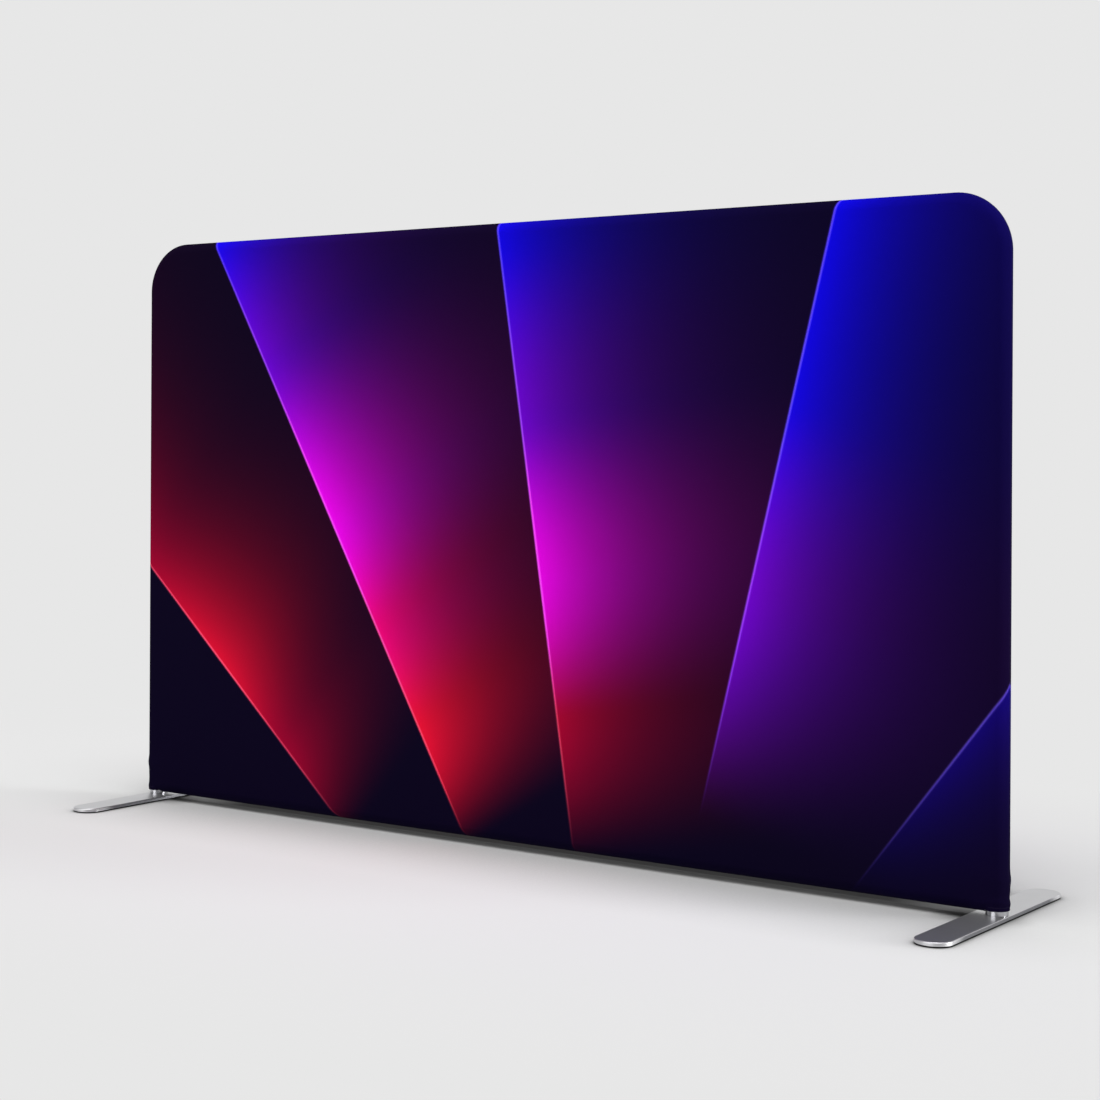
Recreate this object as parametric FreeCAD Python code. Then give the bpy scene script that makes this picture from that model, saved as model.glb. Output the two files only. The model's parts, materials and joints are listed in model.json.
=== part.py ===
import FreeCAD, Part
import math
import os

# A free-standing fabric display backdrop. A knock-down frame of round aluminium tubes carries a
# stretch cover, sewn like a pillowcase and zipped along the back, and stands on two plate feet.
# Millimetres. +Z is up, +X runs along the panel and the printed front faces -Y.
# The origin is on the floor, midway between the feet.

Vector = FreeCAD.Vector
X_AXIS = Vector(1, 0, 0)
Y_AXIS = Vector(0, 1, 0)
Z_AXIS = Vector(0, 0, 1)

# Overall size
PANEL_WIDTH = 2500.0  # over the cover
OVERALL_HEIGHT = 1500.0  # floor to the top of the cover

# Tubes
TUBE_DIAMETER = 50.0
TUBE_WALL = 2.5
BEND_RADIUS = 100.0  # centre line of the two top corners
CORNER_DROP = 375.0  # top rail's centre line down to the lower end of a corner tube
CORNER_REACH = 375.0  # post's centre line in to the inner end of a corner tube
RAIL_END_GAP = 1.0  # a bottom rail's square end to the side of the post

# Sleeves that join the tubes, and the stubs that carry the bottom rails
SLEEVE_CLEARANCE = 0.05  # round the sleeve, in the tube's bore
SLEEVE_WALL = 2.5
SLEEVE_REACH = 80.0  # into each tube
SLEEVE_CHAMFER = 1.0
RIVET_SETBACK = 40.0  # rivet to the end of its tube
RIVET_DIAMETER = 4.8
RIVET_CLEARANCE = 0.1
RIVET_HEAD_DIAMETER = 9.5
RIVET_HEAD_HEIGHT = 1.6
RIVET_TAIL_DIAMETER = 7.0
RIVET_TAIL_LENGTH = 5.0

DOME_STEPS = 2  # turned steps in a rivet's or a button's dome

# Snap buttons and their springs
BUTTON_SETBACK = 60.0  # button to the end of its tube
BUTTON_DIAMETER = 10.0
BUTTON_CLEARANCE = 0.2  # round the button, in its holes
BUTTON_PROUD = 4.0  # past the outside of the tube
BUTTON_DOME = 2.0
FLANGE_DIAMETER = 14.0
FLANGE_THICKNESS = 1.5
FLANGE_CLEARANCE = 0.2  # flange to the sleeve's bore
SPRING_WIDTH = 9.0
SPRING_THICKNESS = 0.8
SPRING_LENGTH = 46.0  # button to the centre of the fold
SPRING_FOLD_RADIUS = 3.5
SPRING_FLAT = 8.0  # the flat under the button, each way
SPRING_CLEARANCE = 0.3  # spring's free leg to the far side of the sleeve

# Stretch cover
FABRIC_THICKNESS = 0.8
FABRIC_EASE = 0.3  # between the tubes and the cover
COLLAR_SHOWING = 12.0  # bare collar between the foot plate and the cover's hem
HEM_RISE = 6.5  # the hem at each post stands this far above the cover's underside
HEM_COVERS = 2.0  # the hem reaches this far below the end of the post

# Zip along the back
ZIP_RISE = 32.0  # zip's centre line above the bottom rail's centre line
ZIP_INSET = 60.0  # end of the zip to the post's centre line
SLOT_HEIGHT = 7.2  # between the fabric's two edges
TAPE_WIDTH = 12.0
TAPE_THICKNESS = 0.5
TAPE_GAP = 3.6
CHAIN_HEIGHT = 6.0
CHAIN_THICKNESS = 2.2
STOP_LENGTH = 6.0

# Zip slider and its pull
SLIDER_LENGTH = 16.0
SLIDER_WALL = 1.5
SLIDER_CLEARANCE = 0.3
SHOULDER_FLARE = 1.4  # shoulders' reach past the parallel sides
NECK_LENGTH = 4.0
NECK_SETBACK = 1.0  # neck to the front of the nose
NECK_CLEARANCE = 0.5  # neck to the edges of the two tapes
PIN_DIAMETER = 2.0
PIN_CLEARANCE = 0.06
LUG_WIDTH = 1.5
KNUCKLE_WALL = 1.0
KNUCKLE_CLEARANCE = 0.3  # pull's knuckle to the lugs and to the slider
PULL_LENGTH = 30.0
PULL_WIDTH = 8.0
PULL_THICKNESS = 1.4
PULL_HOLE = 4.0

# Feet
FOOT_LENGTH = 600.0
FOOT_WIDTH = 80.0
PLATE_THICKNESS = 8.0
PLATE_END_RADIUS = 37.0
PLATE_ROUND = 2.5  # along the plate's top edge
SOLE_THICKNESS = 3.0
SOLE_INSET = 0.5
SOLE_HOLE = 26.0
COLLAR_LEDGE = 1.1  # collar's reach past the post's bore, which the post stands on
COLLAR_GROOVE_HEIGHT = 1.2  # turned at the collar's foot, where it meets the plate
COLLAR_GROOVE_DEPTH = 1.2
SPIGOT_CLEARANCE = 0.05  # round the spigot, in the post's bore
SPIGOT_HEIGHT = 110.0  # above the collar
SPIGOT_WALL = 4.0
SPIGOT_BASE = 18.0
SPIGOT_CHAMFER = 3.0
BOLT_DIAMETER = 10.0
BOLT_CLEARANCE = 0.2
BOLT_HEAD_DIAMETER = 19.0
BOLT_GRIP = 15.0  # in the spigot's base
SOCKET_WIDTH = 6.0
SOCKET_DEPTH = 4.0

# Sizes that follow from those
tube_r = TUBE_DIAMETER / 2
bore_r = tube_r - TUBE_WALL
sleeve_r = bore_r - SLEEVE_CLEARANCE
sleeve_bore_r = sleeve_r - SLEEVE_WALL
button_r = BUTTON_DIAMETER / 2
flange_r = FLANGE_DIAMETER / 2
flange_top = math.sqrt(sleeve_bore_r**2 - flange_r**2) - FLANGE_CLEARANCE
flange_base = flange_top - FLANGE_THICKNESS
cover_bore_r = tube_r + FABRIC_EASE
cover_r = cover_bore_r + FABRIC_THICKNESS
plate_top = SOLE_THICKNESS + PLATE_THICKNESS
hem_z = plate_top + COLLAR_SHOWING
post_base = hem_z + HEM_COVERS
rail_z = hem_z - HEM_RISE + cover_r
top_z = OVERALL_HEIGHT - cover_r
post_x = PANEL_WIDTH / 2 - cover_r
bend_x = post_x - BEND_RADIUS
bend_z = top_z - BEND_RADIUS
post_top = top_z - CORNER_DROP
corner_x = post_x - CORNER_REACH
rail_x = post_x - tube_r - RAIL_END_GAP
button_travel = BUTTON_PROUD + TUBE_WALL + SLEEVE_CLEARANCE

zip_z = rail_z + ZIP_RISE
zip_x = post_x - ZIP_INSET
chain_top = cover_bore_r + CHAIN_THICKNESS
slider_y = chain_top + SLIDER_CLEARANCE
slider_x = zip_x - STOP_LENGTH - SLIDER_CLEARANCE - SLIDER_LENGTH / 2
slider_height = CHAIN_HEIGHT + 2 * (SLIDER_CLEARANCE + SLIDER_WALL)
slider_travel = slider_x + zip_x - STOP_LENGTH - SLIDER_CLEARANCE - SLIDER_LENGTH / 2
neck_x = slider_x + SLIDER_LENGTH / 2 - NECK_SETBACK - NECK_LENGTH
knuckle_r = PIN_DIAMETER / 2 + PIN_CLEARANCE + KNUCKLE_WALL
pin_y = slider_y + SLIDER_WALL + KNUCKLE_CLEARANCE + knuckle_r


def tube_joint(at, along, inward, fixed, slipped):
    """One place where a tube slips over a sleeve or stub: the tube's end, the way it slips off
    the fixed tube, the side its button is on, and the two tubes. A stub has no fixed tube."""
    return {"at": Vector(*at), "along": along, "inward": inward, "fixed": fixed, "slipped": slipped}


TUBE_JOINTS = {
    "left_post": tube_joint((-post_x, 0, post_top), Z_AXIS, X_AXIS, "left_post", "left_corner_tube"),
    "right_post": tube_joint((post_x, 0, post_top), Z_AXIS, -X_AXIS, "right_post", "right_corner_tube"),
    "top_left": tube_joint((-corner_x, 0, top_z), -X_AXIS, -Z_AXIS, "top_rail_left", "left_corner_tube"),
    "top_middle": tube_joint((0, 0, top_z), X_AXIS, -Z_AXIS, "top_rail_left", "top_rail_right"),
    "top_right": tube_joint((corner_x, 0, top_z), X_AXIS, -Z_AXIS, "top_rail_right", "right_corner_tube"),
    "bottom_left": tube_joint((-rail_x, 0, rail_z), X_AXIS, Z_AXIS, None, "bottom_rail_left"),
    "bottom_middle": tube_joint((0, 0, rail_z), X_AXIS, Z_AXIS, "bottom_rail_left", "bottom_rail_right"),
    "bottom_right": tube_joint((rail_x, 0, rail_z), -X_AXIS, Z_AXIS, None, "bottom_rail_right"),
}


def box(low, high):
    """A box between two corners."""
    size = Vector(*high) - Vector(*low)
    return Part.makeBox(size.x, size.y, size.z, Vector(*low))


def fused(first, *others):
    """Solids that share faces or overlap, as one solid without the seams between them."""
    return first.fuse(list(others)).removeSplitter()


def ring(outer, inner, at, along):
    """A flat ring face, square to the direction along."""
    disc, hole = (Part.Face(Part.Wire(Part.Circle(at, along, radius).toShape())) for radius in (outer, inner))
    return disc.cut(hole).Faces[0]


def revolved(points, at, along):
    """A turned piece: (radius, height) points on a profile, about an axis through at."""
    profile = Part.makePolygon([Vector(r, 0, h) for r, h in points] + [Vector(points[0][0], 0, points[0][1])])
    piece = Part.Face(profile).revolve(Vector(0, 0, 0), Z_AXIS, 360)
    piece.Placement = FreeCAD.Placement(at, FreeCAD.Rotation(Z_AXIS, along))
    return piece


def placed(piece, joint):
    """A piece modelled with its tube along +X and its button towards +Z, set at a tube joint."""
    side = joint["inward"].cross(joint["along"])
    turn = FreeCAD.Rotation(joint["along"], side, joint["inward"], "XYZ")
    copy = piece.copy()
    copy.Placement = FreeCAD.Placement(joint["at"], turn) * piece.Placement
    return copy


def cross_hole(diameter, x):
    """A drill through the +Z side of a tube that lies along +X."""
    return Part.makeCylinder(diameter / 2, TUBE_DIAMETER, Vector(x, 0, 0), Z_AXIS)


def drilled(tube, name):
    """The tube with the button and rivet holes of the joints at its ends."""
    for joint in TUBE_JOINTS.values():
        if joint["slipped"] == name:
            tube = tube.cut(placed(cross_hole(BUTTON_DIAMETER + 2 * BUTTON_CLEARANCE, BUTTON_SETBACK), joint))
        if joint["fixed"] == name:
            tube = tube.cut(placed(cross_hole(RIVET_DIAMETER + RIVET_CLEARANCE, -RIVET_SETBACK), joint))
    return tube


def straight_tube(name, start, end):
    """A straight length of frame tube, drilled for its joints."""
    run = Vector(*end) - Vector(*start)
    return drilled(ring(tube_r, bore_r, Vector(*start), run).extrude(run), name)


def corner_tube(name, side):
    """A top corner: a leg down, a bend and a leg in, on side -1 or +1."""
    leg_base = Vector(side * post_x, 0, post_top)
    bend_start = Vector(side * post_x, 0, bend_z)
    bend_end = Vector(side * bend_x, 0, top_z)
    leg_end = Vector(side * corner_x, 0, top_z)
    bend_centre = Vector(side * bend_x, 0, bend_z)
    down = ring(tube_r, bore_r, leg_base, Z_AXIS).extrude(bend_start - leg_base)
    bend = ring(tube_r, bore_r, bend_start, Z_AXIS).revolve(bend_centre, Y_AXIS, -side * 90)
    across = ring(tube_r, bore_r, bend_end, X_AXIS).extrude(leg_end - bend_end)
    return drilled(fused(down, bend, across), name)


def sleeve():
    """The tube that joins two frame tubes, lying along +X about the meeting of their ends."""
    body = revolved(
        [
            (sleeve_bore_r, -SLEEVE_REACH),
            (sleeve_r - SLEEVE_CHAMFER, -SLEEVE_REACH),
            (sleeve_r, SLEEVE_CHAMFER - SLEEVE_REACH),
            (sleeve_r, SLEEVE_REACH - SLEEVE_CHAMFER),
            (sleeve_r - SLEEVE_CHAMFER, SLEEVE_REACH),
            (sleeve_bore_r, SLEEVE_REACH),
        ],
        Vector(0, 0, 0),
        X_AXIS,
    )
    body = body.cut(cross_hole(BUTTON_DIAMETER + 2 * BUTTON_CLEARANCE, BUTTON_SETBACK))
    return body.cut(cross_hole(RIVET_DIAMETER + RIVET_CLEARANCE, -RIVET_SETBACK))


def rail_stub():
    """The stub welded to a post's side: a sleeve whose inner end is coped to the post."""
    post_centre = -tube_r - RAIL_END_GAP
    body = revolved(
        [
            (sleeve_bore_r, post_centre),
            (sleeve_r, post_centre),
            (sleeve_r, SLEEVE_REACH - SLEEVE_CHAMFER),
            (sleeve_r - SLEEVE_CHAMFER, SLEEVE_REACH),
            (sleeve_bore_r, SLEEVE_REACH),
        ],
        Vector(0, 0, 0),
        X_AXIS,
    )
    post = Part.makeCylinder(tube_r, 4 * sleeve_r, Vector(post_centre, 0, -2 * sleeve_r), Z_AXIS)
    return body.cut([post, cross_hole(BUTTON_DIAMETER + 2 * BUTTON_CLEARANCE, BUTTON_SETBACK)])


def tube_rod(radius):
    """A solid round bar along +X, past both ends of a sleeve."""
    return Part.makeCylinder(radius, 4 * SLEEVE_REACH, Vector(-2 * SLEEVE_REACH, 0, 0), X_AXIS)


def dome(radius, base, height):
    """(radius, height) points of a turned dome, from its rim at base to its crown on the axis."""
    angles = [math.pi / 2 * step / DOME_STEPS for step in range(DOME_STEPS)]
    rings = [(radius * math.cos(angle), base + height * math.sin(angle)) for angle in angles]
    return [*rings, (0, base + height)]


def rivet():
    """A blind rivet through tube and sleeve: domed head outside, set tail inside the sleeve."""
    at = Vector(-RIVET_SETBACK, 0, 0)
    head_r = RIVET_HEAD_DIAMETER / 2
    shank_r = RIVET_DIAMETER / 2
    tail_base = sleeve_bore_r - RIVET_TAIL_LENGTH
    head = revolved([(0, bore_r), (head_r, bore_r), *dome(head_r, tube_r, RIVET_HEAD_HEIGHT)], at, Z_AXIS)
    tail = Part.makeCylinder(RIVET_TAIL_DIAMETER / 2, RIVET_TAIL_LENGTH, at + Vector(0, 0, tail_base), Z_AXIS)
    shank = Part.makeCylinder(shank_r, tube_r - tail_base, at + Vector(0, 0, tail_base), Z_AXIS)
    return fused(head.cut(tube_rod(tube_r)), tail.common(tube_rod(sleeve_bore_r)), shank)


def snap_button():
    """The domed button, with the flange that stops it under the sleeve's wall."""
    rim = tube_r + BUTTON_PROUD - BUTTON_DOME
    profile = [
        (0, flange_base),
        (flange_r, flange_base),
        (flange_r, flange_top),
        (button_r, flange_top),
        *dome(button_r, rim, BUTTON_DOME),
    ]
    return revolved(profile, Vector(BUTTON_SETBACK, 0, 0), Z_AXIS)


def tangent_point(centre, radius, outside, turn):
    """Where a line from a point outside touches a circle in the XZ plane, on side -1 or +1."""
    away = outside - centre
    angle = math.atan2(away.z, away.x) + turn * math.acos(radius / away.Length)
    return centre + Vector(radius * math.cos(angle), 0, radius * math.sin(angle))


def snap_spring():
    """The folded strip spring: flat under the button, a round fold, and a leg to the far wall. Its
    outer face is drawn, and the strip lies within that."""
    upper = flange_base
    wall = math.sqrt(sleeve_bore_r**2 - (SPRING_WIDTH / 2) ** 2)
    lower = SPRING_CLEARANCE - wall
    button_x = BUTTON_SETBACK
    free_end = Vector(button_x + SPRING_FLAT, 0, upper)
    knee = Vector(button_x - SPRING_FLAT, 0, upper)
    foot = Vector(button_x + SPRING_FLAT, 0, lower)
    fold = Vector(button_x - SPRING_LENGTH, 0, (upper + lower) / 2)
    fold_start = tangent_point(fold, SPRING_FOLD_RADIUS, knee, 1)
    fold_end = tangent_point(fold, SPRING_FOLD_RADIUS, foot, -1)
    outer_face = Part.Wire(
        [
            Part.LineSegment(free_end, knee).toShape(),
            Part.LineSegment(knee, fold_start).toShape(),
            Part.Arc(fold_start, fold - X_AXIS * SPRING_FOLD_RADIUS, fold_end).toShape(),
            Part.LineSegment(fold_end, foot).toShape(),
        ]
    )
    strip = outer_face.makeOffset2D(SPRING_THICKNESS, fill=True, openResult=True)
    return strip.extrude(Vector(0, SPRING_WIDTH, 0)).translated(Vector(0, -SPRING_WIDTH / 2, 0))


def half_disc(radius, at, along, outward):
    """Half of a disc, square to the direction along, on the outward side of its diameter."""
    across = along.cross(outward)
    start = at - across * radius
    end = at + across * radius
    arc = Part.Arc(start, at + outward * radius, end).toShape()
    return Part.Face(Part.Wire([arc, Part.LineSegment(end, start).toShape()]))


def cover_form(radius, low_z):
    """The pillow that the cover makes, as a solid: flat between the tubes' centre lines, round
    about each tube by the radius, with a round leg at each post down to low_z."""
    outline = [
        Part.LineSegment(Vector(-post_x, 0, rail_z), Vector(-post_x, 0, bend_z)),
        Part.LineSegment(Vector(-bend_x, 0, top_z), Vector(bend_x, 0, top_z)),
        Part.LineSegment(Vector(post_x, 0, bend_z), Vector(post_x, 0, rail_z)),
        Part.LineSegment(Vector(post_x, 0, rail_z), Vector(-post_x, 0, rail_z)),
    ]
    slant = BEND_RADIUS * math.sqrt(0.5)
    for side in (-1, 1):
        start = Vector(side * post_x, 0, bend_z)
        middle = Vector(side * (bend_x + slant), 0, bend_z + slant)
        outline.append(Part.Arc(start, middle, Vector(side * bend_x, 0, top_z)))
    edges = Part.sortEdges([curve.toShape() for curve in outline])[0]
    flat = Part.Face(Part.Wire(edges)).translated(Vector(0, -radius, 0)).extrude(Vector(0, 2 * radius, 0))
    width = Vector(2 * post_x, 0, 0)
    rounds = [
        half_disc(radius, Vector(-bend_x, 0, top_z), X_AXIS, Z_AXIS).extrude(Vector(2 * bend_x, 0, 0)),
        half_disc(radius, Vector(-post_x, 0, rail_z), X_AXIS, -Z_AXIS).extrude(width),
    ]
    for side in (-1, 1):
        outward = X_AXIS * side
        bend_start = Vector(side * post_x, 0, bend_z)
        bend_centre = Vector(side * bend_x, 0, bend_z)
        edge = half_disc(radius, Vector(side * post_x, 0, rail_z), Z_AXIS, outward)
        rounds.append(edge.extrude(Vector(0, 0, bend_z - rail_z)))
        rounds.append(half_disc(radius, bend_start, Z_AXIS, outward).revolve(bend_centre, Y_AXIS, -side * 90))
        rounds.append(Part.makeCylinder(radius, rail_z - low_z, Vector(side * post_x, 0, low_z), Z_AXIS))
    return fused(flat, *rounds)


def cover_panels():
    """The cover's two panels, sewn together along the middle of the sides and top. The front one
    passes under the bottom rail and up the back to the zip."""
    shell = cover_form(cover_r, hem_z).cut(cover_form(cover_bore_r, plate_top))
    reach = PANEL_WIDTH
    slot_low = zip_z - SLOT_HEIGHT / 2
    slot = box((-zip_x, 0, slot_low), (zip_x, reach, zip_z + SLOT_HEIGHT / 2))
    behind = box((-reach, 0, slot_low), (reach, reach, OVERALL_HEIGHT + cover_r))
    return shell.cut(behind), shell.common(behind).cut(slot)


def zip_tapes():
    """The two woven tapes, sewn to the inside of the fabric along the slot."""
    tapes = []
    for side in (-1, 1):
        edges = sorted(zip_z + side * offset for offset in (TAPE_GAP / 2, TAPE_GAP / 2 + TAPE_WIDTH))
        low = (-zip_x, cover_bore_r - TAPE_THICKNESS, edges[0])
        tapes.append(box(low, (zip_x, cover_bore_r, edges[1])))
    return Part.makeCompound(tapes)


def zip_chain():
    """The two rows of coil, closed as far as the slider's neck: a strip with a hump over each row."""
    row = CHAIN_HEIGHT / 2
    hump_base = chain_top - CHAIN_THICKNESS / 2
    start = -zip_x + STOP_LENGTH
    low = Vector(start, 0, zip_z - row)
    path = []
    for lower_edge in (low.z, low.z + row):
        foot = Vector(start, hump_base, lower_edge)
        crown = Vector(start, chain_top, lower_edge + row / 2)
        path.append(Part.Arc(foot, crown, Vector(start, hump_base, lower_edge + row)).toShape())
    corners = [
        Vector(start, hump_base, zip_z + row),
        Vector(start, cover_bore_r, zip_z + row),
        Vector(start, cover_bore_r, zip_z - row),
        Vector(start, hump_base, zip_z - row),
    ]
    path.extend(Part.LineSegment(a, b).toShape() for a, b in zip(corners, corners[1:]))
    return Part.Face(Part.Wire(path)).extrude(Vector(neck_x - SLIDER_CLEARANCE - start, 0, 0))


def zip_stops():
    """A clamp across both rows at the far end, and one on each tape past the closed slider."""
    half = CHAIN_HEIGHT / 2
    far = box((-zip_x, cover_bore_r, zip_z - half), (STOP_LENGTH - zip_x, chain_top, zip_z + half))
    near = []
    for side in (-1, 1):
        edges = sorted(zip_z + side * offset for offset in (TAPE_GAP / 2, half))
        near.append(box((zip_x - STOP_LENGTH, cover_bore_r, edges[0]), (zip_x, chain_top, edges[1])))
    return Part.makeCompound([far, *near])


def slider_plate(low_y, high_y):
    """One plate of the slider: parallel behind, flared to rounded shoulders at the neck."""
    half_height = slider_height / 2
    shoulder = half_height + SHOULDER_FLARE
    back = slider_x - SLIDER_LENGTH / 2
    front = slider_x + SLIDER_LENGTH / 2
    sides = []
    for way in (-1, 1):
        corners = [(back, half_height), (slider_x, half_height), (neck_x, shoulder)]
        points = [Vector(x, low_y, zip_z + way * height) for x, height in corners]
        sides += [Part.LineSegment(a, b) for a, b in zip(points, points[1:])]
    lower, upper = (Vector(neck_x, low_y, zip_z + way * shoulder) for way in (-1, 1))
    nose = Part.Arc(lower, Vector(front, low_y, zip_z), upper)
    tail = Part.LineSegment(
        Vector(back, low_y, zip_z - half_height),
        Vector(back, low_y, zip_z + half_height),
    )
    edges = Part.sortEdges([curve.toShape() for curve in (*sides, nose, tail)])[0]
    return Part.Face(Part.Wire(edges)).extrude(Vector(0, high_y - low_y, 0))


def zip_slider():
    """The slider: a plate each side of the chain, joined by the neck that parts the two rows,
    flanges that hold the rows together, and two lugs with the pull's pin."""
    half_height = slider_height / 2
    back = slider_x - SLIDER_LENGTH / 2
    neck_end = slider_x + SLIDER_LENGTH / 2 - NECK_SETBACK
    inner_y = cover_bore_r - TAPE_THICKNESS - SLIDER_CLEARANCE
    neck_half = TAPE_GAP / 2 - NECK_CLEARANCE
    pin = Vector(slider_x, pin_y, zip_z - half_height)
    pieces = [
        slider_plate(slider_y, slider_y + SLIDER_WALL),
        slider_plate(inner_y - SLIDER_WALL, inner_y),
        box((neck_x, inner_y, zip_z - neck_half), (neck_end, slider_y, zip_z + neck_half)),
        Part.makeCylinder(PIN_DIAMETER / 2, slider_height, pin, Z_AXIS),
    ]
    flange_y = cover_r + SLIDER_CLEARANCE
    for low in (zip_z - half_height, zip_z + half_height - SLIDER_WALL):
        pieces.append(box((back, flange_y, low), (slider_x, slider_y, low + SLIDER_WALL)))
    lug_back = slider_x - knuckle_r
    lug_front = slider_x + knuckle_r
    for low in (zip_z - half_height, zip_z + half_height - LUG_WIDTH):
        pieces.append(box((lug_back, slider_y, low), (lug_front, pin_y, low + LUG_WIDTH)))
        pieces.append(Part.makeCylinder(knuckle_r, LUG_WIDTH, Vector(slider_x, pin_y, low), Z_AXIS))
    return fused(*pieces)


def zip_pull():
    """The pull: a knuckle round the slider's pin and a flat tab with a hole near its end."""
    half = PULL_THICKNESS / 2
    tab_start = slider_x - knuckle_r - KNUCKLE_CLEARANCE
    tab_end = slider_x - PULL_LENGTH + PULL_WIDTH / 2
    knuckle_width = slider_height - 2 * (LUG_WIDTH + KNUCKLE_CLEARANCE)
    knuckle_z = zip_z - knuckle_width / 2
    low_z = zip_z - PULL_WIDTH / 2
    tip = Vector(tab_end, pin_y - half, zip_z)
    pin = Vector(slider_x, pin_y, knuckle_z)
    solid = fused(
        Part.makeCylinder(knuckle_r, knuckle_width, pin, Z_AXIS),
        box((tab_start, pin_y - half, knuckle_z), (slider_x, pin_y + half, knuckle_z + knuckle_width)),
        box((tab_end, pin_y - half, low_z), (tab_start, pin_y + half, low_z + PULL_WIDTH)),
        Part.makeCylinder(PULL_WIDTH / 2, PULL_THICKNESS, tip, Y_AXIS),
    )
    eye = Part.makeCylinder(PIN_DIAMETER / 2 + PIN_CLEARANCE, knuckle_width, pin, Z_AXIS)
    hole = Part.makeCylinder(PULL_HOLE / 2, PULL_THICKNESS, tip, Y_AXIS)
    return solid.cut([eye, hole])


def foot_outline(side, inset, z):
    """The foot's outline at a height: a long plate with rounded ends, flush with the panel's side."""
    outer = side * (PANEL_WIDTH / 2 - inset)
    inner = side * (PANEL_WIDTH / 2 - FOOT_WIDTH + inset)
    low_x, high_x = min(outer, inner), max(outer, inner)
    half_length = FOOT_LENGTH / 2 - inset
    radius = min(PLATE_END_RADIUS - inset, FOOT_WIDTH / 2 - inset - 0.01)
    corner = radius * (1 - math.sqrt(0.5))
    edges = [
        Part.LineSegment(Vector(low_x, radius - half_length, z), Vector(low_x, half_length - radius, z)),
        Part.LineSegment(Vector(high_x, radius - half_length, z), Vector(high_x, half_length - radius, z)),
    ]
    for end in (-1, 1):
        tip = end * half_length
        shoulder = end * (half_length - radius)
        edges.append(Part.LineSegment(Vector(low_x + radius, tip, z), Vector(high_x - radius, tip, z)))
        for x, way in ((low_x, 1), (high_x, -1)):
            middle = Vector(x + way * corner, tip - end * corner, z)
            edges.append(Part.Arc(Vector(x, shoulder, z), middle, Vector(x + way * radius, tip, z)))
    return Part.Face(Part.Wire(Part.sortEdges([edge.toShape() for edge in edges])[0]))


def foot_plate(side):
    """The flat steel plate, its top edge rounded, countersunk from below for the spigot's bolt."""
    plate = foot_outline(side, 0, SOLE_THICKNESS).extrude(Vector(0, 0, PLATE_THICKNESS))
    upper = [edge for edge in plate.Edges if edge.BoundBox.ZMin > plate_top - PLATE_ROUND]
    plate = plate.makeFillet(PLATE_ROUND, upper)
    return plate.cut(foot_bolt_form(side, BOLT_CLEARANCE))


def foot_bolt_form(side, margin):
    """The outside of the countersunk bolt, grown by a margin for the hole that it goes through."""
    shank_r = BOLT_DIAMETER / 2 + margin
    head_r = BOLT_HEAD_DIAMETER / 2 + margin
    profile = [
        (0, 0),
        (head_r, 0),
        (shank_r, head_r - shank_r),
        (shank_r, PLATE_THICKNESS + BOLT_GRIP + margin),
        (0, PLATE_THICKNESS + BOLT_GRIP + margin),
    ]
    return revolved(profile, Vector(side * post_x, 0, SOLE_THICKNESS), Z_AXIS)


def foot_bolt(side):
    """The countersunk bolt that holds the spigot to the plate, with a hexagon socket below."""
    flats = [
        Vector(SOCKET_WIDTH / math.sqrt(3) * math.cos(turn), SOCKET_WIDTH / math.sqrt(3) * math.sin(turn), 0)
        for turn in (math.radians(60 * step) for step in range(7))
    ]
    socket = Part.Face(Part.makePolygon(flats)).extrude(Vector(0, 0, SOCKET_DEPTH))
    return foot_bolt_form(side, 0).cut(socket.translated(Vector(side * post_x, 0, SOLE_THICKNESS)))


def foot_sole(side):
    """The rubber sole under the plate, with a hole that leaves the bolt's head bare."""
    sole = foot_outline(side, SOLE_INSET, 0).extrude(Vector(0, 0, SOLE_THICKNESS))
    return sole.cut(Part.makeCylinder(SOLE_HOLE / 2, SOLE_THICKNESS, Vector(side * post_x, 0, 0), Z_AXIS))


def foot_spigot(side):
    """The turned cup that the foot turns on: a collar with a groove at its foot that the post stands on,
    and above it the spigot in the post's bore."""
    outer = bore_r - SPIGOT_CLEARANCE
    inner = outer - SPIGOT_WALL
    collar_r = bore_r + COLLAR_LEDGE
    collar_top = post_base - plate_top
    spigot_top = collar_top + SPIGOT_HEIGHT
    profile = [
        (0, 0),
        (collar_r - COLLAR_GROOVE_DEPTH, 0),
        (collar_r - COLLAR_GROOVE_DEPTH, COLLAR_GROOVE_HEIGHT),
        (collar_r, COLLAR_GROOVE_HEIGHT),
        (collar_r, collar_top),
        (outer, collar_top),
        (outer, spigot_top - SPIGOT_CHAMFER),
        (outer - SPIGOT_CHAMFER, spigot_top),
        (inner, spigot_top),
        (inner, SPIGOT_BASE),
        (0, SPIGOT_BASE),
    ]
    cup = revolved(profile, Vector(side * post_x, 0, plate_top), Z_AXIS)
    return cup.cut(foot_bolt_form(side, BOLT_CLEARANCE))


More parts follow.
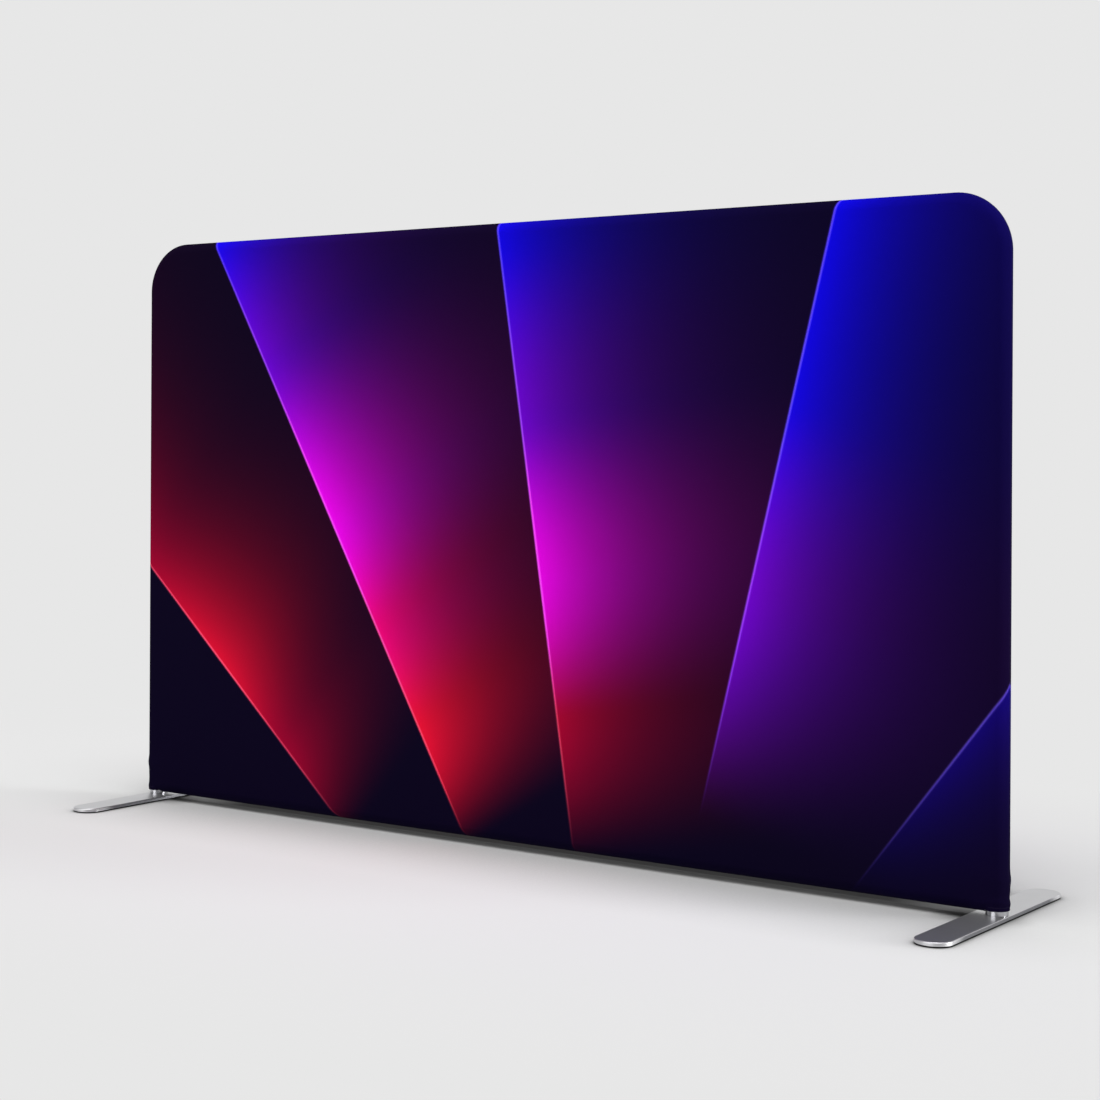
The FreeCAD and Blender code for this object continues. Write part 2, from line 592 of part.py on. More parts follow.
def frame_pieces():
    """The tubes, the sleeves and stubs that join them, and the sleeves' rivets."""
    pieces = {
        "left_post": straight_tube("left_post", (-post_x, 0, post_base), (-post_x, 0, post_top)),
        "right_post": straight_tube("right_post", (post_x, 0, post_base), (post_x, 0, post_top)),
        "left_corner_tube": corner_tube("left_corner_tube", -1),
        "right_corner_tube": corner_tube("right_corner_tube", 1),
        "top_rail_left": straight_tube("top_rail_left", (-corner_x, 0, top_z), (0, 0, top_z)),
        "top_rail_right": straight_tube("top_rail_right", (0, 0, top_z), (corner_x, 0, top_z)),
        "bottom_rail_left": straight_tube("bottom_rail_left", (-rail_x, 0, rail_z), (0, 0, rail_z)),
        "bottom_rail_right": straight_tube("bottom_rail_right", (0, 0, rail_z), (rail_x, 0, rail_z)),
    }
    rivets = []
    for name, joint in TUBE_JOINTS.items():
        if joint["fixed"] is None:
            pieces[f"{name}_rail_stub"] = placed(rail_stub(), joint)
        else:
            pieces[f"{name}_sleeve"] = placed(sleeve(), joint)
            rivets.append(placed(rivet(), joint))
    pieces["sleeve_rivets"] = Part.makeCompound(rivets)
    return pieces


def snap_pieces():
    """A snap button at every tube joint, and the springs behind them."""
    joints = TUBE_JOINTS.items()
    pieces = {f"{name}_button": placed(snap_button(), joint) for name, joint in joints}
    pieces["snap_springs"] = Part.makeCompound([placed(snap_spring(), joint) for _, joint in joints])
    return pieces


def cover_pieces():
    """The sewn cover and its zip."""
    front, back = cover_panels()
    return {
        "front_panel": front,
        "back_panel": back,
        "zip_tapes": zip_tapes(),
        "zip_chain": zip_chain(),
        "zip_stops": zip_stops(),
        "zip_slider": zip_slider(),
        "zip_pull": zip_pull(),
    }


def foot_pieces():
    """The two feet, each of a plate, a sole, a spigot and a bolt."""
    pieces = {}
    for name, side in (("left", -1), ("right", 1)):
        pieces[f"{name}_foot_plate"] = foot_plate(side)
        pieces[f"{name}_foot_sole"] = foot_sole(side)
        pieces[f"{name}_foot_spigot"] = foot_spigot(side)
        pieces[f"{name}_foot_bolt"] = foot_bolt(side)
    return pieces


def main():
    """Builds every piece and writes one STEP file for each."""
    os.makedirs("parts", exist_ok=True)
    for pieces in (frame_pieces(), snap_pieces(), cover_pieces(), foot_pieces()):
        for name, piece in pieces.items():
            piece.exportStep(os.path.join("parts", f"{name}.step"))
            sizes = ", ".join(f"{solid.Volume / 1000:.2f}" for solid in piece.Solids)
            print(f"{name}: valid {piece.isValid()}, volumes in cm3: {sizes}")


if __name__ == "__main__":
    main()
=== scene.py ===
"""Looks of a free-standing fabric display backdrop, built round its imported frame.

The stretched cover, its hems and stitching, the zip's tapes and teeth, and the snap buttons' springs are
surfaces worked out here. Every other piece keeps its solid and gets a finish. Lengths are in metres unless
a name says otherwise.
"""

from __future__ import annotations

import json
import logging
import math
from dataclasses import dataclass
from enum import Enum
from typing import Any

import bmesh
import bpy
import numpy as np
from bpy.types import Material, Node, NodeSocket, NodeTree, Object, World
from mathutils import Matrix, Vector


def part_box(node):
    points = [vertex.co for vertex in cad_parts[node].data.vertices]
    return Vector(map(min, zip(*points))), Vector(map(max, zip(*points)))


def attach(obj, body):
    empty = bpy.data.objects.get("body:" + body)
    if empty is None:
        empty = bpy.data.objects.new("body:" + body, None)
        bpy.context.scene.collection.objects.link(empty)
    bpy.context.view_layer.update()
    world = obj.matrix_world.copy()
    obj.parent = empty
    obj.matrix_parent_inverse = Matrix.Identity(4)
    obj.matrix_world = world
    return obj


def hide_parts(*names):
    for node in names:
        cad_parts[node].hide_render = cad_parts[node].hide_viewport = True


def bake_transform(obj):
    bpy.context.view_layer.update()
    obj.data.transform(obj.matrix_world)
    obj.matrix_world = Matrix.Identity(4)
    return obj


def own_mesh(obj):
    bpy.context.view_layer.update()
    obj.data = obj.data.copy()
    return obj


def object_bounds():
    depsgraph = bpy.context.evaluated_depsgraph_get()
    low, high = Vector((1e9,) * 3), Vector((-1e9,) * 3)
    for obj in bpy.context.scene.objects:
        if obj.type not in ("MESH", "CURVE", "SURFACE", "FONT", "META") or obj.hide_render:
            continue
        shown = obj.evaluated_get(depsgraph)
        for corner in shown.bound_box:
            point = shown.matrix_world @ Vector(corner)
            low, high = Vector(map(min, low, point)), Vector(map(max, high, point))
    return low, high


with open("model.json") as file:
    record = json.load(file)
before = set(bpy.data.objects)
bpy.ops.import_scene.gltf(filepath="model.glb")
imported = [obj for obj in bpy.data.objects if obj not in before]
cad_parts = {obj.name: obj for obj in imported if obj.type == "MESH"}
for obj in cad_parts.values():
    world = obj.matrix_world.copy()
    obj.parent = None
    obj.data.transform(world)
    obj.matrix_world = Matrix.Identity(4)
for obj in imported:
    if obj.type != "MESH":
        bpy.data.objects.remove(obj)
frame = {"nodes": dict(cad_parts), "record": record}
cad_low, cad_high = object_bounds()
log = logging.getLogger("backdrop")

MM = 0.001
WELD = 1e-6
SIDES = (-1, 1)
QUARTER_TURN = math.pi / 2
WAVE_SCALE = math.pi / 10  # of a Wave texture whose bands lie one unit apart


class Face(Enum):
    """The two large faces of the cover, by the way that they look along Y."""

    FRONT = -1
    BACK = 1


class Grain(Enum):
    """How a metal's surface was worked, as the stretch of its fine lines along X, Y and Z."""

    BRUSHED = (1.0, 0.012, 1.0)
    TURNED = (0.02, 0.02, 1.0)
    BLASTED = (1.0, 1.0, 1.0)


def linear(hex_colour: str) -> tuple[float, float, float, float]:
    """Turn an sRGB hex colour into linear light, by the sRGB curve.

    Args:
        hex_colour: Six hex digits, red first.

    Returns:
        Linear red, green, blue and an alpha of one.
    """
    levels = np.array([int(hex_colour[at : at + 2], 16) for at in (0, 2, 4)]) / 255
    light = np.where(levels <= 0.04045, levels / 12.92, ((levels + 0.055) / 1.055) ** 2.4)
    return (*light.tolist(), 1.0)


def add(tree: NodeTree, kind: str, inputs: dict[Any, Any] | None = None, **settings: Any) -> Node:
    """Add one node with its settings, constants and links.

    Args:
        tree: The node tree that takes the node.
        kind: Blender's name for the kind of node, less the ShaderNode that each begins with.
        inputs: Socket name or number to a constant, or to the output that is linked there.
        settings: Properties of the node itself.

    Returns:
        The new node.
    """
    node = tree.nodes.new(f"ShaderNode{kind}")
    for name, value in settings.items():
        setattr(node, name, value)
    for socket, value in (inputs or {}).items():
        if isinstance(value, NodeSocket):
            tree.links.new(value, node.inputs[socket])
        else:
            node.inputs[socket].default_value = value
    return node


def empty_tree(holder: Material | World) -> NodeTree:
    """Turn on the nodes of a material or a world and clear them.

    Args:
        holder: The material or the world.

    Returns:
        Its empty tree.
    """
    holder.use_nodes = True
    holder.node_tree.nodes.clear()
    return holder.node_tree


def smooth_step(values: np.ndarray, start: float, end: float) -> np.ndarray:
    """Rise smoothly from nought at start to one at end."""
    share = np.clip((values - start) / (end - start), 0, 1)
    return share * share * (3 - 2 * share)


def hump(values: np.ndarray, centre: float | np.ndarray, spread: float) -> np.ndarray:
    """A bell curve of height one about a centre."""
    return np.exp(-(((values - centre) / spread) ** 2))


@dataclass
class Patch:
    """A grid of points, and each point's place on the flat cloth.

    Attributes:
        points: Rows by columns by X, Y and Z. A step along a row crossed into a step along a column points
            out.
        cloth: Rows by columns by two, in metres.
    """

    points: np.ndarray
    cloth: np.ndarray

    def flipped(self) -> Patch:
        """The same grid facing the other way."""
        return Patch(self.points[:, ::-1], self.cloth[:, ::-1])


def grid(x: Any, y: Any, z: Any) -> np.ndarray:
    """Stack three arrays that spread over the same grid into points."""
    return np.stack(np.broadcast_arrays(x, y, z), axis=-1).astype(float)


def bare(points: np.ndarray) -> Patch:
    """A patch with no print, whose place on the cloth is its X and Z."""
    return Patch(points, points[..., (0, 2)])


def weld(name: str, patches: list[Patch]) -> Object:
    """Join patches into one smooth mesh, closed wherever their edges meet.

    Args:
        name: The piece's name.
        patches: Grids whose shared edges have the same points.

    Returns:
        The piece, with the cloth places as its UV map.
    """
    points = []
    cloth = []
    quads = []
    first = 0
    for patch in patches:
        rows, columns = patch.points.shape[:2]
        number = first + np.arange(rows * columns).reshape(rows, columns)
        corners = (number[:-1, :-1], number[1:, :-1], number[1:, 1:], number[:-1, 1:])
        quads.append(np.stack(corners, axis=-1).reshape(-1, 4))
        points.append(patch.points.reshape(-1, 3))
        cloth.append(patch.cloth.reshape(-1, 2))
        first += rows * columns
    faces = np.concatenate(quads)
    mesh = bpy.data.meshes.new(name)
    mesh.from_pydata(np.concatenate(points).tolist(), [], faces.tolist())
    layer = mesh.uv_layers.new(name="cloth")
    layer.data.foreach_set("uv", np.concatenate(cloth)[faces.ravel()].astype(np.float32).ravel())
    joined = bmesh.new()
    joined.from_mesh(mesh)
    bmesh.ops.remove_doubles(joined, verts=joined.verts, dist=WELD)
    joined.to_mesh(mesh)
    joined.free()
    mesh.shade_smooth()
    piece = bpy.data.objects.new(name, mesh)
    bpy.context.scene.collection.objects.link(piece)
    return piece


def thicken(piece: Object, thickness: float) -> None:
    """Give a sheet its thickness, inwards from its outer face.

    Args:
        piece: The sheet.
        thickness: Its thickness.
    """
    wall = piece.modifiers.new("thickness", "SOLIDIFY")
    wall.thickness = thickness
    wall.offset = -1


def set_on_frame(piece: Object, material: Material) -> None:
    """Give a piece its material, let it ride on the frame and report it.

    Args:
        piece: The piece.
        material: Its material.
    """
    piece.data.materials.append(material)
    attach(piece, "frame")
    log.info("piece %s with %d faces", piece.name, len(piece.data.polygons))


def tubes(
    lines: np.ndarray, across: np.ndarray, up: np.ndarray, radii: np.ndarray, sides: int
) -> list[Patch]:
    """Round bars along many short lines: centre plus radius times the cosine across and the sine up.

    Args:
        lines: Bars by stations by X, Y and Z.
        across: A unit vector for each station, square to the line.
        up: The other unit vector square to the line.
        radii: A radius for each station; nought closes an end.
        sides: Faces round a bar.

    Returns:
        One patch for each bar.
    """
    turn = np.linspace(0, -math.tau, sides + 1)[None, None, :, None]
    spread = across[..., None, :] * np.cos(turn) + up[..., None, :] * np.sin(turn)
    points = lines[..., None, :] + spread * radii[None, :, None, None]
    return [bare(bar) for bar in points]


@dataclass(frozen=True)
class Finish:
    """A finish for one or more of the record's material slots.

    Attributes:
        name: The real material and how its surface was made.
        colour: Its own colour.
        roughness: From mirror to matt.
        slots: The material slots that take it.
    """

    name: str
    colour: str
    roughness: float
    slots: tuple[str, ...]

    def start(self) -> tuple[Material, NodeTree, Node]:
        """Begin the material with its own colour and roughness.

        Returns:
            The material, its tree, and its shader, which is linked to the output.
        """
        material = bpy.data.materials.new(self.name)
        tree = empty_tree(material)
        look = {"Base Color": linear(self.colour), "Roughness": self.roughness}
        shader = add(tree, "BsdfPrincipled", look)
        add(tree, "OutputMaterial", {"Surface": shader.outputs[0]})
        return material, tree, shader

    def build(self) -> Material:
        """Make the material."""
        return self.start()[0]


@dataclass(frozen=True)
class Metal(Finish):
    """Bare or plated metal with fine lines or grit left by its working.

    Attributes:
        grain: How it was worked.
        line_mm: Distance between the lines or grit.
        depth_mm: How deep they look.
        unevenness: How far the roughness wanders about its value.
        cloud_mm: Size of the faint clouds in its colour.
        cloud_tint: How dull and how bright these make it.
    """

    grain: Grain = Grain.BLASTED
    line_mm: float = 0.4
    depth_mm: float = 0.01
    unevenness: float = 0.06
    cloud_mm: float = 60.0
    cloud_tint: tuple[float, float] = (0.94, 1.03)

    def ground(self, tree: NodeTree, place: Any) -> Any:
        """The metal's own colour, the same all over."""
        return linear(self.colour)[:3]

    def build(self) -> Material:
        """Stretched noise moves the roughness and raises the lines, and broad clouds dull the colour.

        Returns:
            The metal.
        """
        material, tree, shader = self.start()
        shader.inputs["Metallic"].default_value = 1.0
        place = add(tree, "TexCoord").outputs["Object"]
        stretch = tuple(share / (self.line_mm * MM) for share in self.grain.value)
        along = add(tree, "Mapping", {"Vector": place, "Scale": stretch}).outputs[0]
        lines = add(tree, "TexNoise", {"Vector": along, "Scale": 1.0, "Detail": 3.0}).outputs["Fac"]
        low, high = self.roughness - self.unevenness, self.roughness + self.unevenness
        rough = add(tree, "MapRange", {"Value": lines, "To Min": low, "To Max": high})
        cloud = add(tree, "TexNoise", {"Vector": place, "Scale": 1 / (self.cloud_mm * MM), "Detail": 2.0})
        dull, bright = self.cloud_tint
        tint = add(tree, "MapRange", {"Value": cloud.outputs["Fac"], "To Min": dull, "To Max": bright})
        tinted = {0: self.ground(tree, place), "Scale": tint.outputs[0]}
        shade = add(tree, "VectorMath", tinted, operation="SCALE")
        bump = add(tree, "Bump", {"Height": lines, "Distance": self.depth_mm * MM})
        tree.links.new(shade.outputs[0], shader.inputs["Base Color"])
        tree.links.new(rough.outputs[0], shader.inputs["Roughness"])
        tree.links.new(bump.outputs[0], shader.inputs["Normal"])
        return material


@dataclass(frozen=True)
class FlatBar(Metal):
    """Flat bar brushed on its top and round its ends, with painted shade darkening its long sides.

    Attributes:
        bar: The right-hand bar, whose box gives the place of its sides; the left one mirrors it.
        painted_side_shade: Colour of the painted shade on the long sides.
        painted_side_shade_depth: How far in from a side the painted shade reaches.
        end_fade: Length over which the painted shade fades out towards an end.
    """

    bar: str = "right_foot_plate"
    painted_side_shade: str = "76767A"
    painted_side_shade_depth: float = 0.5 * MM
    end_fade: float = 55 * MM

    def ground(self, tree: NodeTree, place: Any) -> Any:
        """Mix in painted shade by the distance from the bar's middle line, and out again towards its ends.

        Args:
            tree: The metal's tree.
            place: Output with the place on the object.

        Returns:
            The output of its colour.
        """
        low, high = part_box(self.bar)
        half = (high.x - low.x) / 2
        axes = add(tree, "SeparateXYZ", {0: place}).outputs
        out = add(tree, "Math", {0: axes["X"]}, operation="ABSOLUTE").outputs[0]
        across = add(tree, "Math", {0: out, 1: low.x + half}, operation="SUBTRACT").outputs[0]
        away = add(tree, "Math", {0: across}, operation="ABSOLUTE").outputs[0]
        along = add(tree, "Math", {0: axes["Y"]}, operation="ABSOLUTE").outputs[0]
        straight = high.y - half
        most = {0: along, 1: straight, 2: straight - self.end_fade}
        limit = add(tree, "MapRange", most, interpolation_type="SMOOTHSTEP").outputs[0]
        # Painted shade: the long sides darkened, fading out towards the ends.
        edge = {0: away, 1: half - self.painted_side_shade_depth, 2: half - self.painted_side_shade_depth / 2, 4: limit}
        share = add(tree, "MapRange", edge).outputs[0]
        colours = {"Factor": share, "A": linear(self.colour), "B": linear(self.painted_side_shade)}
        return add(tree, "Mix", colours, data_type="RGBA").outputs["Result"]


@dataclass(frozen=True)
class Moulded(Finish):
    """Rubber or plastic from a mould, with the mould's fine grit on it.

    Attributes:
        grit_mm: Size of the grit.
        depth_mm: How deep it is.
        gloss: Strength of its sheen.
        unevenness: How far the roughness wanders about its value.
    """

    grit_mm: float = 0.8
    depth_mm: float = 0.05
    gloss: float = 0.3
    unevenness: float = 0.08

    def build(self) -> Material:
        """Fine noise raises the grit and makes the sheen uneven.

        Returns:
            The rubber or plastic.
        """
        material, tree, shader = self.start()
        shader.inputs["Specular IOR Level"].default_value = self.gloss
        place = add(tree, "TexCoord").outputs["Object"]
        noise = {"Vector": place, "Scale": 1 / (self.grit_mm * MM), "Detail": 2.0}
        grit = add(tree, "TexNoise", noise).outputs["Fac"]
        low, high = self.roughness - self.unevenness, self.roughness + self.unevenness
        rough = add(tree, "MapRange", {"Value": grit, "To Min": low, "To Max": high})
        bump = add(tree, "Bump", {"Height": grit, "Distance": self.depth_mm * MM})
        tree.links.new(rough.outputs[0], shader.inputs["Roughness"])
        tree.links.new(bump.outputs[0], shader.inputs["Normal"])
        return material


@dataclass(frozen=True)
class Woven(Finish):
    """Narrow woven tape or sewing thread, ribbed along its length.

    Attributes:
        rib_mm: Distance between the ribs.
        depth_mm: Their height.
        gloss: Strength of its sheen.
        sway: How far the ribs stray from straight.
        crown: How many times lighter a rib's crown is, as a painted highlight.
        crown_lift: Painted light that the crown has besides, so that black thread shows too.
    """

    rib_mm: float = 0.8
    depth_mm: float = 0.15
    gloss: float = 0.2
    sway: float = 0.4
    crown: float = 1.8
    crown_lift: float = 0.01

    def build(self) -> Material:
        """Slanting bands in X and Z stand for the twill, with a painted highlight on their crowns.

        Returns:
            The tape or thread.
        """
        material, tree, shader = self.start()
        shader.inputs["Specular IOR Level"].default_value = self.gloss
        place = add(tree, "TexCoord").outputs["Object"]
        bands = {"Vector": place, "Scale": WAVE_SCALE / (self.rib_mm * MM), "Distortion": self.sway}
        ribs = add(tree, "TexWave", bands, bands_direction="DIAGONAL").outputs["Fac"]
        ground = linear(self.colour)
        # Painted highlight: each rib's crown lighter than its ground.
        light = tuple(min(1.0, self.crown * level + self.crown_lift) for level in ground[:3])
        shades = {"Factor": ribs, "A": ground, "B": (*light, 1.0)}
        shade = add(tree, "Mix", shades, data_type="RGBA")
        bump = add(tree, "Bump", {"Height": ribs, "Distance": self.depth_mm * MM})
        tree.links.new(shade.outputs["Result"], shader.inputs["Base Color"])
        tree.links.new(bump.outputs[0], shader.inputs["Normal"])
        return material


@dataclass(frozen=True)
class LightPlane:
    """One straight plane of light in the print: a crisp bright edge, and a glow that dies away to one side.

    Attributes:
        slant_deg: Slope of the edge.
        reach: How far the glow spreads before it falls to about a third.
        strength: Brightness of the glow at the edge.
        colours: Share of the way along the edge, hex colour, and how white the edge's line is there.
    """

    slant_deg: float
    reach: float
    strength: float
    colours: tuple[tuple[float, str, float], ...]


CRIMSON, RED, PINK, MAGENTA = "B00028", "FF1030", "FF0080", "FF00FF"
VIOLET, BLUE, DEEP_BLUE, UNLIT = "7000E0", "0000FF", "000090", "000000"


@dataclass(frozen=True)
class PrintedKnit(Finish):
    """Stretch polyester knit with a dye-printed fan of straight light planes on near-black navy.

    Attributes:
        fan_point: Place on the flat cloth, below the cover, that the edges fan out from.
        fan_start: Distance from that point at which the colours begin.
        fan_length: Length that the colours spread over.
        line_width: Half width of each edge's bright line.
        line_white: White that each edge's line adds to its colour.
        sheen: Strength of the soft sheen of its fibres.
        wale_mm: Distance between the knit's ribs. Real ones are 0.6 mm apart and too fine to show.
        wale_height_mm: How high the ribs look.
        wale_sway: How far they stray from straight.
        valley_shade: Share of the colour that is left between them, as painted shade.
        planes: The light planes, from left to right.
    """

    fan_point: tuple[float, float] = (0.30, -0.75)
    fan_start: float = 0.6
    fan_length: float = 2.2
    line_width: float = 2.5 * MM
    line_white: tuple[float, float, float] = (0.14, 0.08, 0.14)
    sheen: float = 0.008
    wale_mm: float = 1.2
    wale_height_mm: float = 0.2
    wale_sway: float = 1.5
    valley_shade: float = 0.88
    planes: tuple[LightPlane, ...] = (
        LightPlane(
            138,
            0.14,
            0.8,
            ((0.22, UNLIT, 0), (0.36, CRIMSON, 0.5), (0.5, RED, 1), (0.7, CRIMSON, 0.6)),
        ),
        LightPlane(
            120,
            0.17,
            0.9,
            (
                (0.12, UNLIT, 0),
                (0.26, RED, 0.8),
                (0.38, PINK, 1),
                (0.52, MAGENTA, 1),
                (0.74, VIOLET, 0.7),
                (0.92, BLUE, 0.5),
            ),
        ),
        LightPlane(
            99,
            0.18,
            0.8,
            (
                (0.07, UNLIT, 0),
                (0.22, CRIMSON, 0.5),
                (0.38, MAGENTA, 1),
                (0.55, VIOLET, 0.8),
                (0.74, BLUE, 0.7),
            ),
        ),
        LightPlane(
            76,
            0.15,
            0.8,
            ((0.14, UNLIT, 0), (0.38, VIOLET, 0.6), (0.58, BLUE, 0.8), (0.78, BLUE, 0.7)),
        ),
        LightPlane(52, 0.07, 0.5, ((0.16, UNLIT, 0), (0.4, DEEP_BLUE, 0.5))),
    )

    def plane_colour(self, tree: NodeTree, cloth: Any, plane: LightPlane) -> tuple[Any, Any]:
        """Add the nodes of one light plane.

        The flat place is turned so that X runs along the edge and Y away from it on the glowing side. The
        glow is e to the minus distance over reach, and the line is a bell curve about the edge.

        Args:
            tree: The material's tree.
            cloth: Output with the place on the flat cloth.
            plane: The light plane.

        Returns:
            The outputs of its coloured light and of the white in its line.
        """
        placed = {
            "Vector": cloth,
            "Location": (*self.fan_point, 0.0),
            "Rotation": (0.0, 0.0, math.radians(plane.slant_deg)),
            "Scale": (1.0, -plane.reach, 1.0),
        }
        turned = add(tree, "Mapping", placed, vector_type="TEXTURE")
        axes = add(tree, "SeparateXYZ", {0: turned.outputs[0]})
        end = self.fan_start + self.fan_length
        along = add(tree, "MapRange", {0: axes.outputs["X"], 1: self.fan_start, 2: end})
        ramp = add(tree, "ValToRGB", {0: along.outputs[0]})
        ramp.color_ramp.interpolation = "EASE"
        stops = ramp.color_ramp.elements
        while len(stops) < len(plane.colours):
            stops.new(0.5)
        for stop, (share, colour, white) in zip(stops, plane.colours):
            stop.position = share
            stop.color = (*linear(colour)[:3], white)
        away = axes.outputs["Y"]
        back = add(tree, "Math", {0: away, 1: -1.0}, operation="MULTIPLY").outputs[0]
        glow = add(tree, "Math", {0: back}, operation="EXPONENT").outputs[0]
        inside = add(tree, "Math", {0: away, 1: 0.0}, operation="GREATER_THAN").outputs[0]
        lit = add(tree, "Math", {0: glow, 1: inside}, operation="MULTIPLY").outputs[0]
        square = add(tree, "Math", {0: away, 1: away}, operation="MULTIPLY").outputs[0]
        narrow = -((plane.reach / self.line_width) ** 2)
        bell = add(tree, "Math", {0: square, 1: narrow}, operation="MULTIPLY").outputs[0]
        line = add(tree, "Math", {0: bell}, operation="EXPONENT").outputs[0]
        strength = add(tree, "Math", {0: lit, 1: plane.strength, 2: line}, operation="MULTIPLY_ADD")
        light = {0: ramp.outputs["Color"], "Scale": strength.outputs[0]}
        coloured = add(tree, "VectorMath", light, operation="SCALE")
        white = add(tree, "Math", {0: line, 1: ramp.outputs["Alpha"]}, operation="MULTIPLY")
        return coloured.outputs[0], white.outputs[0]

    def build(self) -> Material:
        """Add the light planes to the ground colour, then the knit's ribs as a faint relief with painted
        shade between them.

        Returns:
            The printed knit.
        """
        material, tree, shader = self.start()
        shader.inputs["Specular IOR Level"].default_value = 0.0
        shader.inputs["Sheen Weight"].default_value = self.sheen
        shader.inputs["Sheen Roughness"].default_value = 0.5
        cloth = add(tree, "UVMap", uv_map="cloth").outputs[0]
        total = add(tree, "RGB").outputs[0]
        total.default_value = linear(self.colour)
        for plane in self.planes:
            coloured, white = self.plane_colour(tree, cloth, plane)
            edge = add(tree, "VectorMath", {0: self.line_white, "Scale": white}, operation="SCALE")
            for light in (coloured, edge.outputs[0]):
                total = add(tree, "VectorMath", {0: total, 1: light}, operation="ADD").outputs[0]
        most = {0: total, 1: (1.0, 1.0, 1.0)}
        total = add(tree, "VectorMath", most, operation="MINIMUM").outputs[0]
        bands = {"Vector": cloth, "Scale": WAVE_SCALE / (self.wale_mm * MM)}
        bands.update({"Distortion": self.wale_sway, "Detail": 1.0})
        ribs = add(tree, "TexWave", bands, bands_direction="X").outputs["Fac"]
        bump = add(tree, "Bump", {"Height": ribs, "Strength": 0.4, "Distance": self.wale_height_mm * MM})
        # Painted shade: the colour darkened in the valleys between the ribs.
        depth = add(tree, "MapRange", {0: ribs, 3: self.valley_shade, 4: 1.0})
        total = add(tree, "VectorMath", {0: total, "Scale": depth.outputs[0]}, operation="SCALE").outputs[0]
        tree.links.new(total, shader.inputs["Base Color"])
        tree.links.new(bump.outputs[0], shader.inputs["Normal"])
        return material


FINISHES: tuple[Finish, ...] = (
    # Polyester warp knit, dye printed: matt, with deep ink colours and hardly any gloss.
    PrintedKnit("printed_stretch_knit", "0E0820", 0.85, ("printed_fabric_front", "printed_fabric_back")),
    # Drawn aluminium tube, satin anodised: an even soft grey with a fine blasted tooth.
    Metal("satin_anodised_aluminium", "D2D4D6", 0.34, ("aluminium_tube",), line_mm=0.5),
    # Drawn aluminium in mill finish: shinier than the tube, with drawing lines.
    Metal("mill_finish_aluminium", "C6C8CA", 0.26, ("aluminium_sleeve",), grain=Grain.TURNED, line_mm=0.6),
    # Pressed aluminium rivets: plain and slightly dull.
    Metal("pressed_aluminium", "DDDDDE", 0.38, ("aluminium_rivet",)),
    # Tempered strip steel: a mid grey with a cool cast.
    Metal("tempered_spring_steel", "B4B7BC", 0.30, ("spring_steel",)),
    # Polished and chromed steel: mirror bright.
    Metal("chromed_steel", "E4E6E8", 0.08, ("button_steel",), unevenness=0.02, depth_mm=0.002),
    # Die-cast zinc, nickel plated: bright with softened highlights.
    Metal("nickel_plated_zinc", "CFD0D2", 0.22, ("zip_metal",), line_mm=0.3),
    # Flat bar, brushed along its length and satin nickel plated: long soft streaks of light; painted shade
    # darkens its long sides.
    FlatBar(
        "brushed_nickel_plated_steel",
        "CBCBCD",
        0.41,
        ("foot_steel",),
        grain=Grain.BRUSHED,
        line_mm=0.9,
        depth_mm=0.012,
    ),
    # Turned and polished aluminium: bright, with fine turning rings.
    Metal(
        "polished_turned_aluminium",
        "B2B2B6",
        0.18,
        ("polished_spigot",),
        grain=Grain.TURNED,
        line_mm=0.5,
        depth_mm=0.004,
        unevenness=0.03,
    ),
    # Zinc plated steel: grey and a little clouded.
    Metal("zinc_plated_steel", "B9BBBF", 0.36, ("bolt_steel",), line_mm=0.4),
    # Moulded rubber: black and matt, with hardly any sheen.
    Moulded("moulded_rubber", "0B0B0B", 0.72, ("rubber_sole",), grit_mm=1.0, gloss=0.1),
    # Wound nylon monofilament: black with a satin gleam on each turn.
    Moulded("nylon_coil", "17171A", 0.38, ("zip_coil",), grit_mm=0.5, depth_mm=0.01),
    # Woven polyester tape: black twill that catches a little light.
    Woven("woven_zip_tape", "141417", 0.80, ("zip_tape",)),
)
# Spun polyester thread: dark violet, dull, twisted.
THREAD = Woven("spun_polyester_thread", "231A36", 0.70, (), rib_mm=0.5, depth_mm=0.05)


@dataclass(frozen=True)
class Pucker:
    """A soft fold that the fabric makes round a post.

    Attributes:
        push: How far it stands out.
        rises: Its height above the hem, at the left post and at the right.
        spread: Half its height.
    """

    push: float
    rises: tuple[float, float]
    spread: float

    def stand(self, rise: np.ndarray, side: np.ndarray) -> np.ndarray:
        """How far it stands out at a height above the hem: a bell curve."""
        return self.push * hump(rise, np.where(side < 0, *self.rises), self.spread)


@dataclass(frozen=True)
class CoverCounts:
    """How many points the cover has in each direction, and how they crowd together.

    Attributes:
        sleeve: Up a post from the hem to the bottom rail.
        wrap: From there to the slot.
        beside_slot: Along the slot's height.
        post: From the slot to the bend.
        post_ease: Power that crowds those towards the foot.
        bend: Round a bend.
        top: Along the top.
        rim: Across the round edge.
        rings: From a face's middle to its edge.
        ring_ease: Power that crowds those towards the edge.
        mitre: Round the bottom rail from the front to the hem's height.
        under: From there to the bottom.
        near: Beside a post.
        far: From there to the middle.
        far_ease: Power that crowds those towards the post.
        hem: Round a hem.
        hem_sides: Round the hem's bead.
        stitch_sides: Round a stitch.
    """

    sleeve: int = 15
    wrap: int = 15
    beside_slot: int = 4
    post: int = 80
    post_ease: float = 1.4
    bend: int = 25
    top: int = 97
    rim: int = 13
    rings: int = 30
    ring_ease: float = 1.7
    mitre: int = 13
    under: int = 12
    near: int = 31
    far: int = 56
    far_ease: float = 1.15
    hem: int = 97
    hem_sides: int = 10
    stitch_sides: int = 4


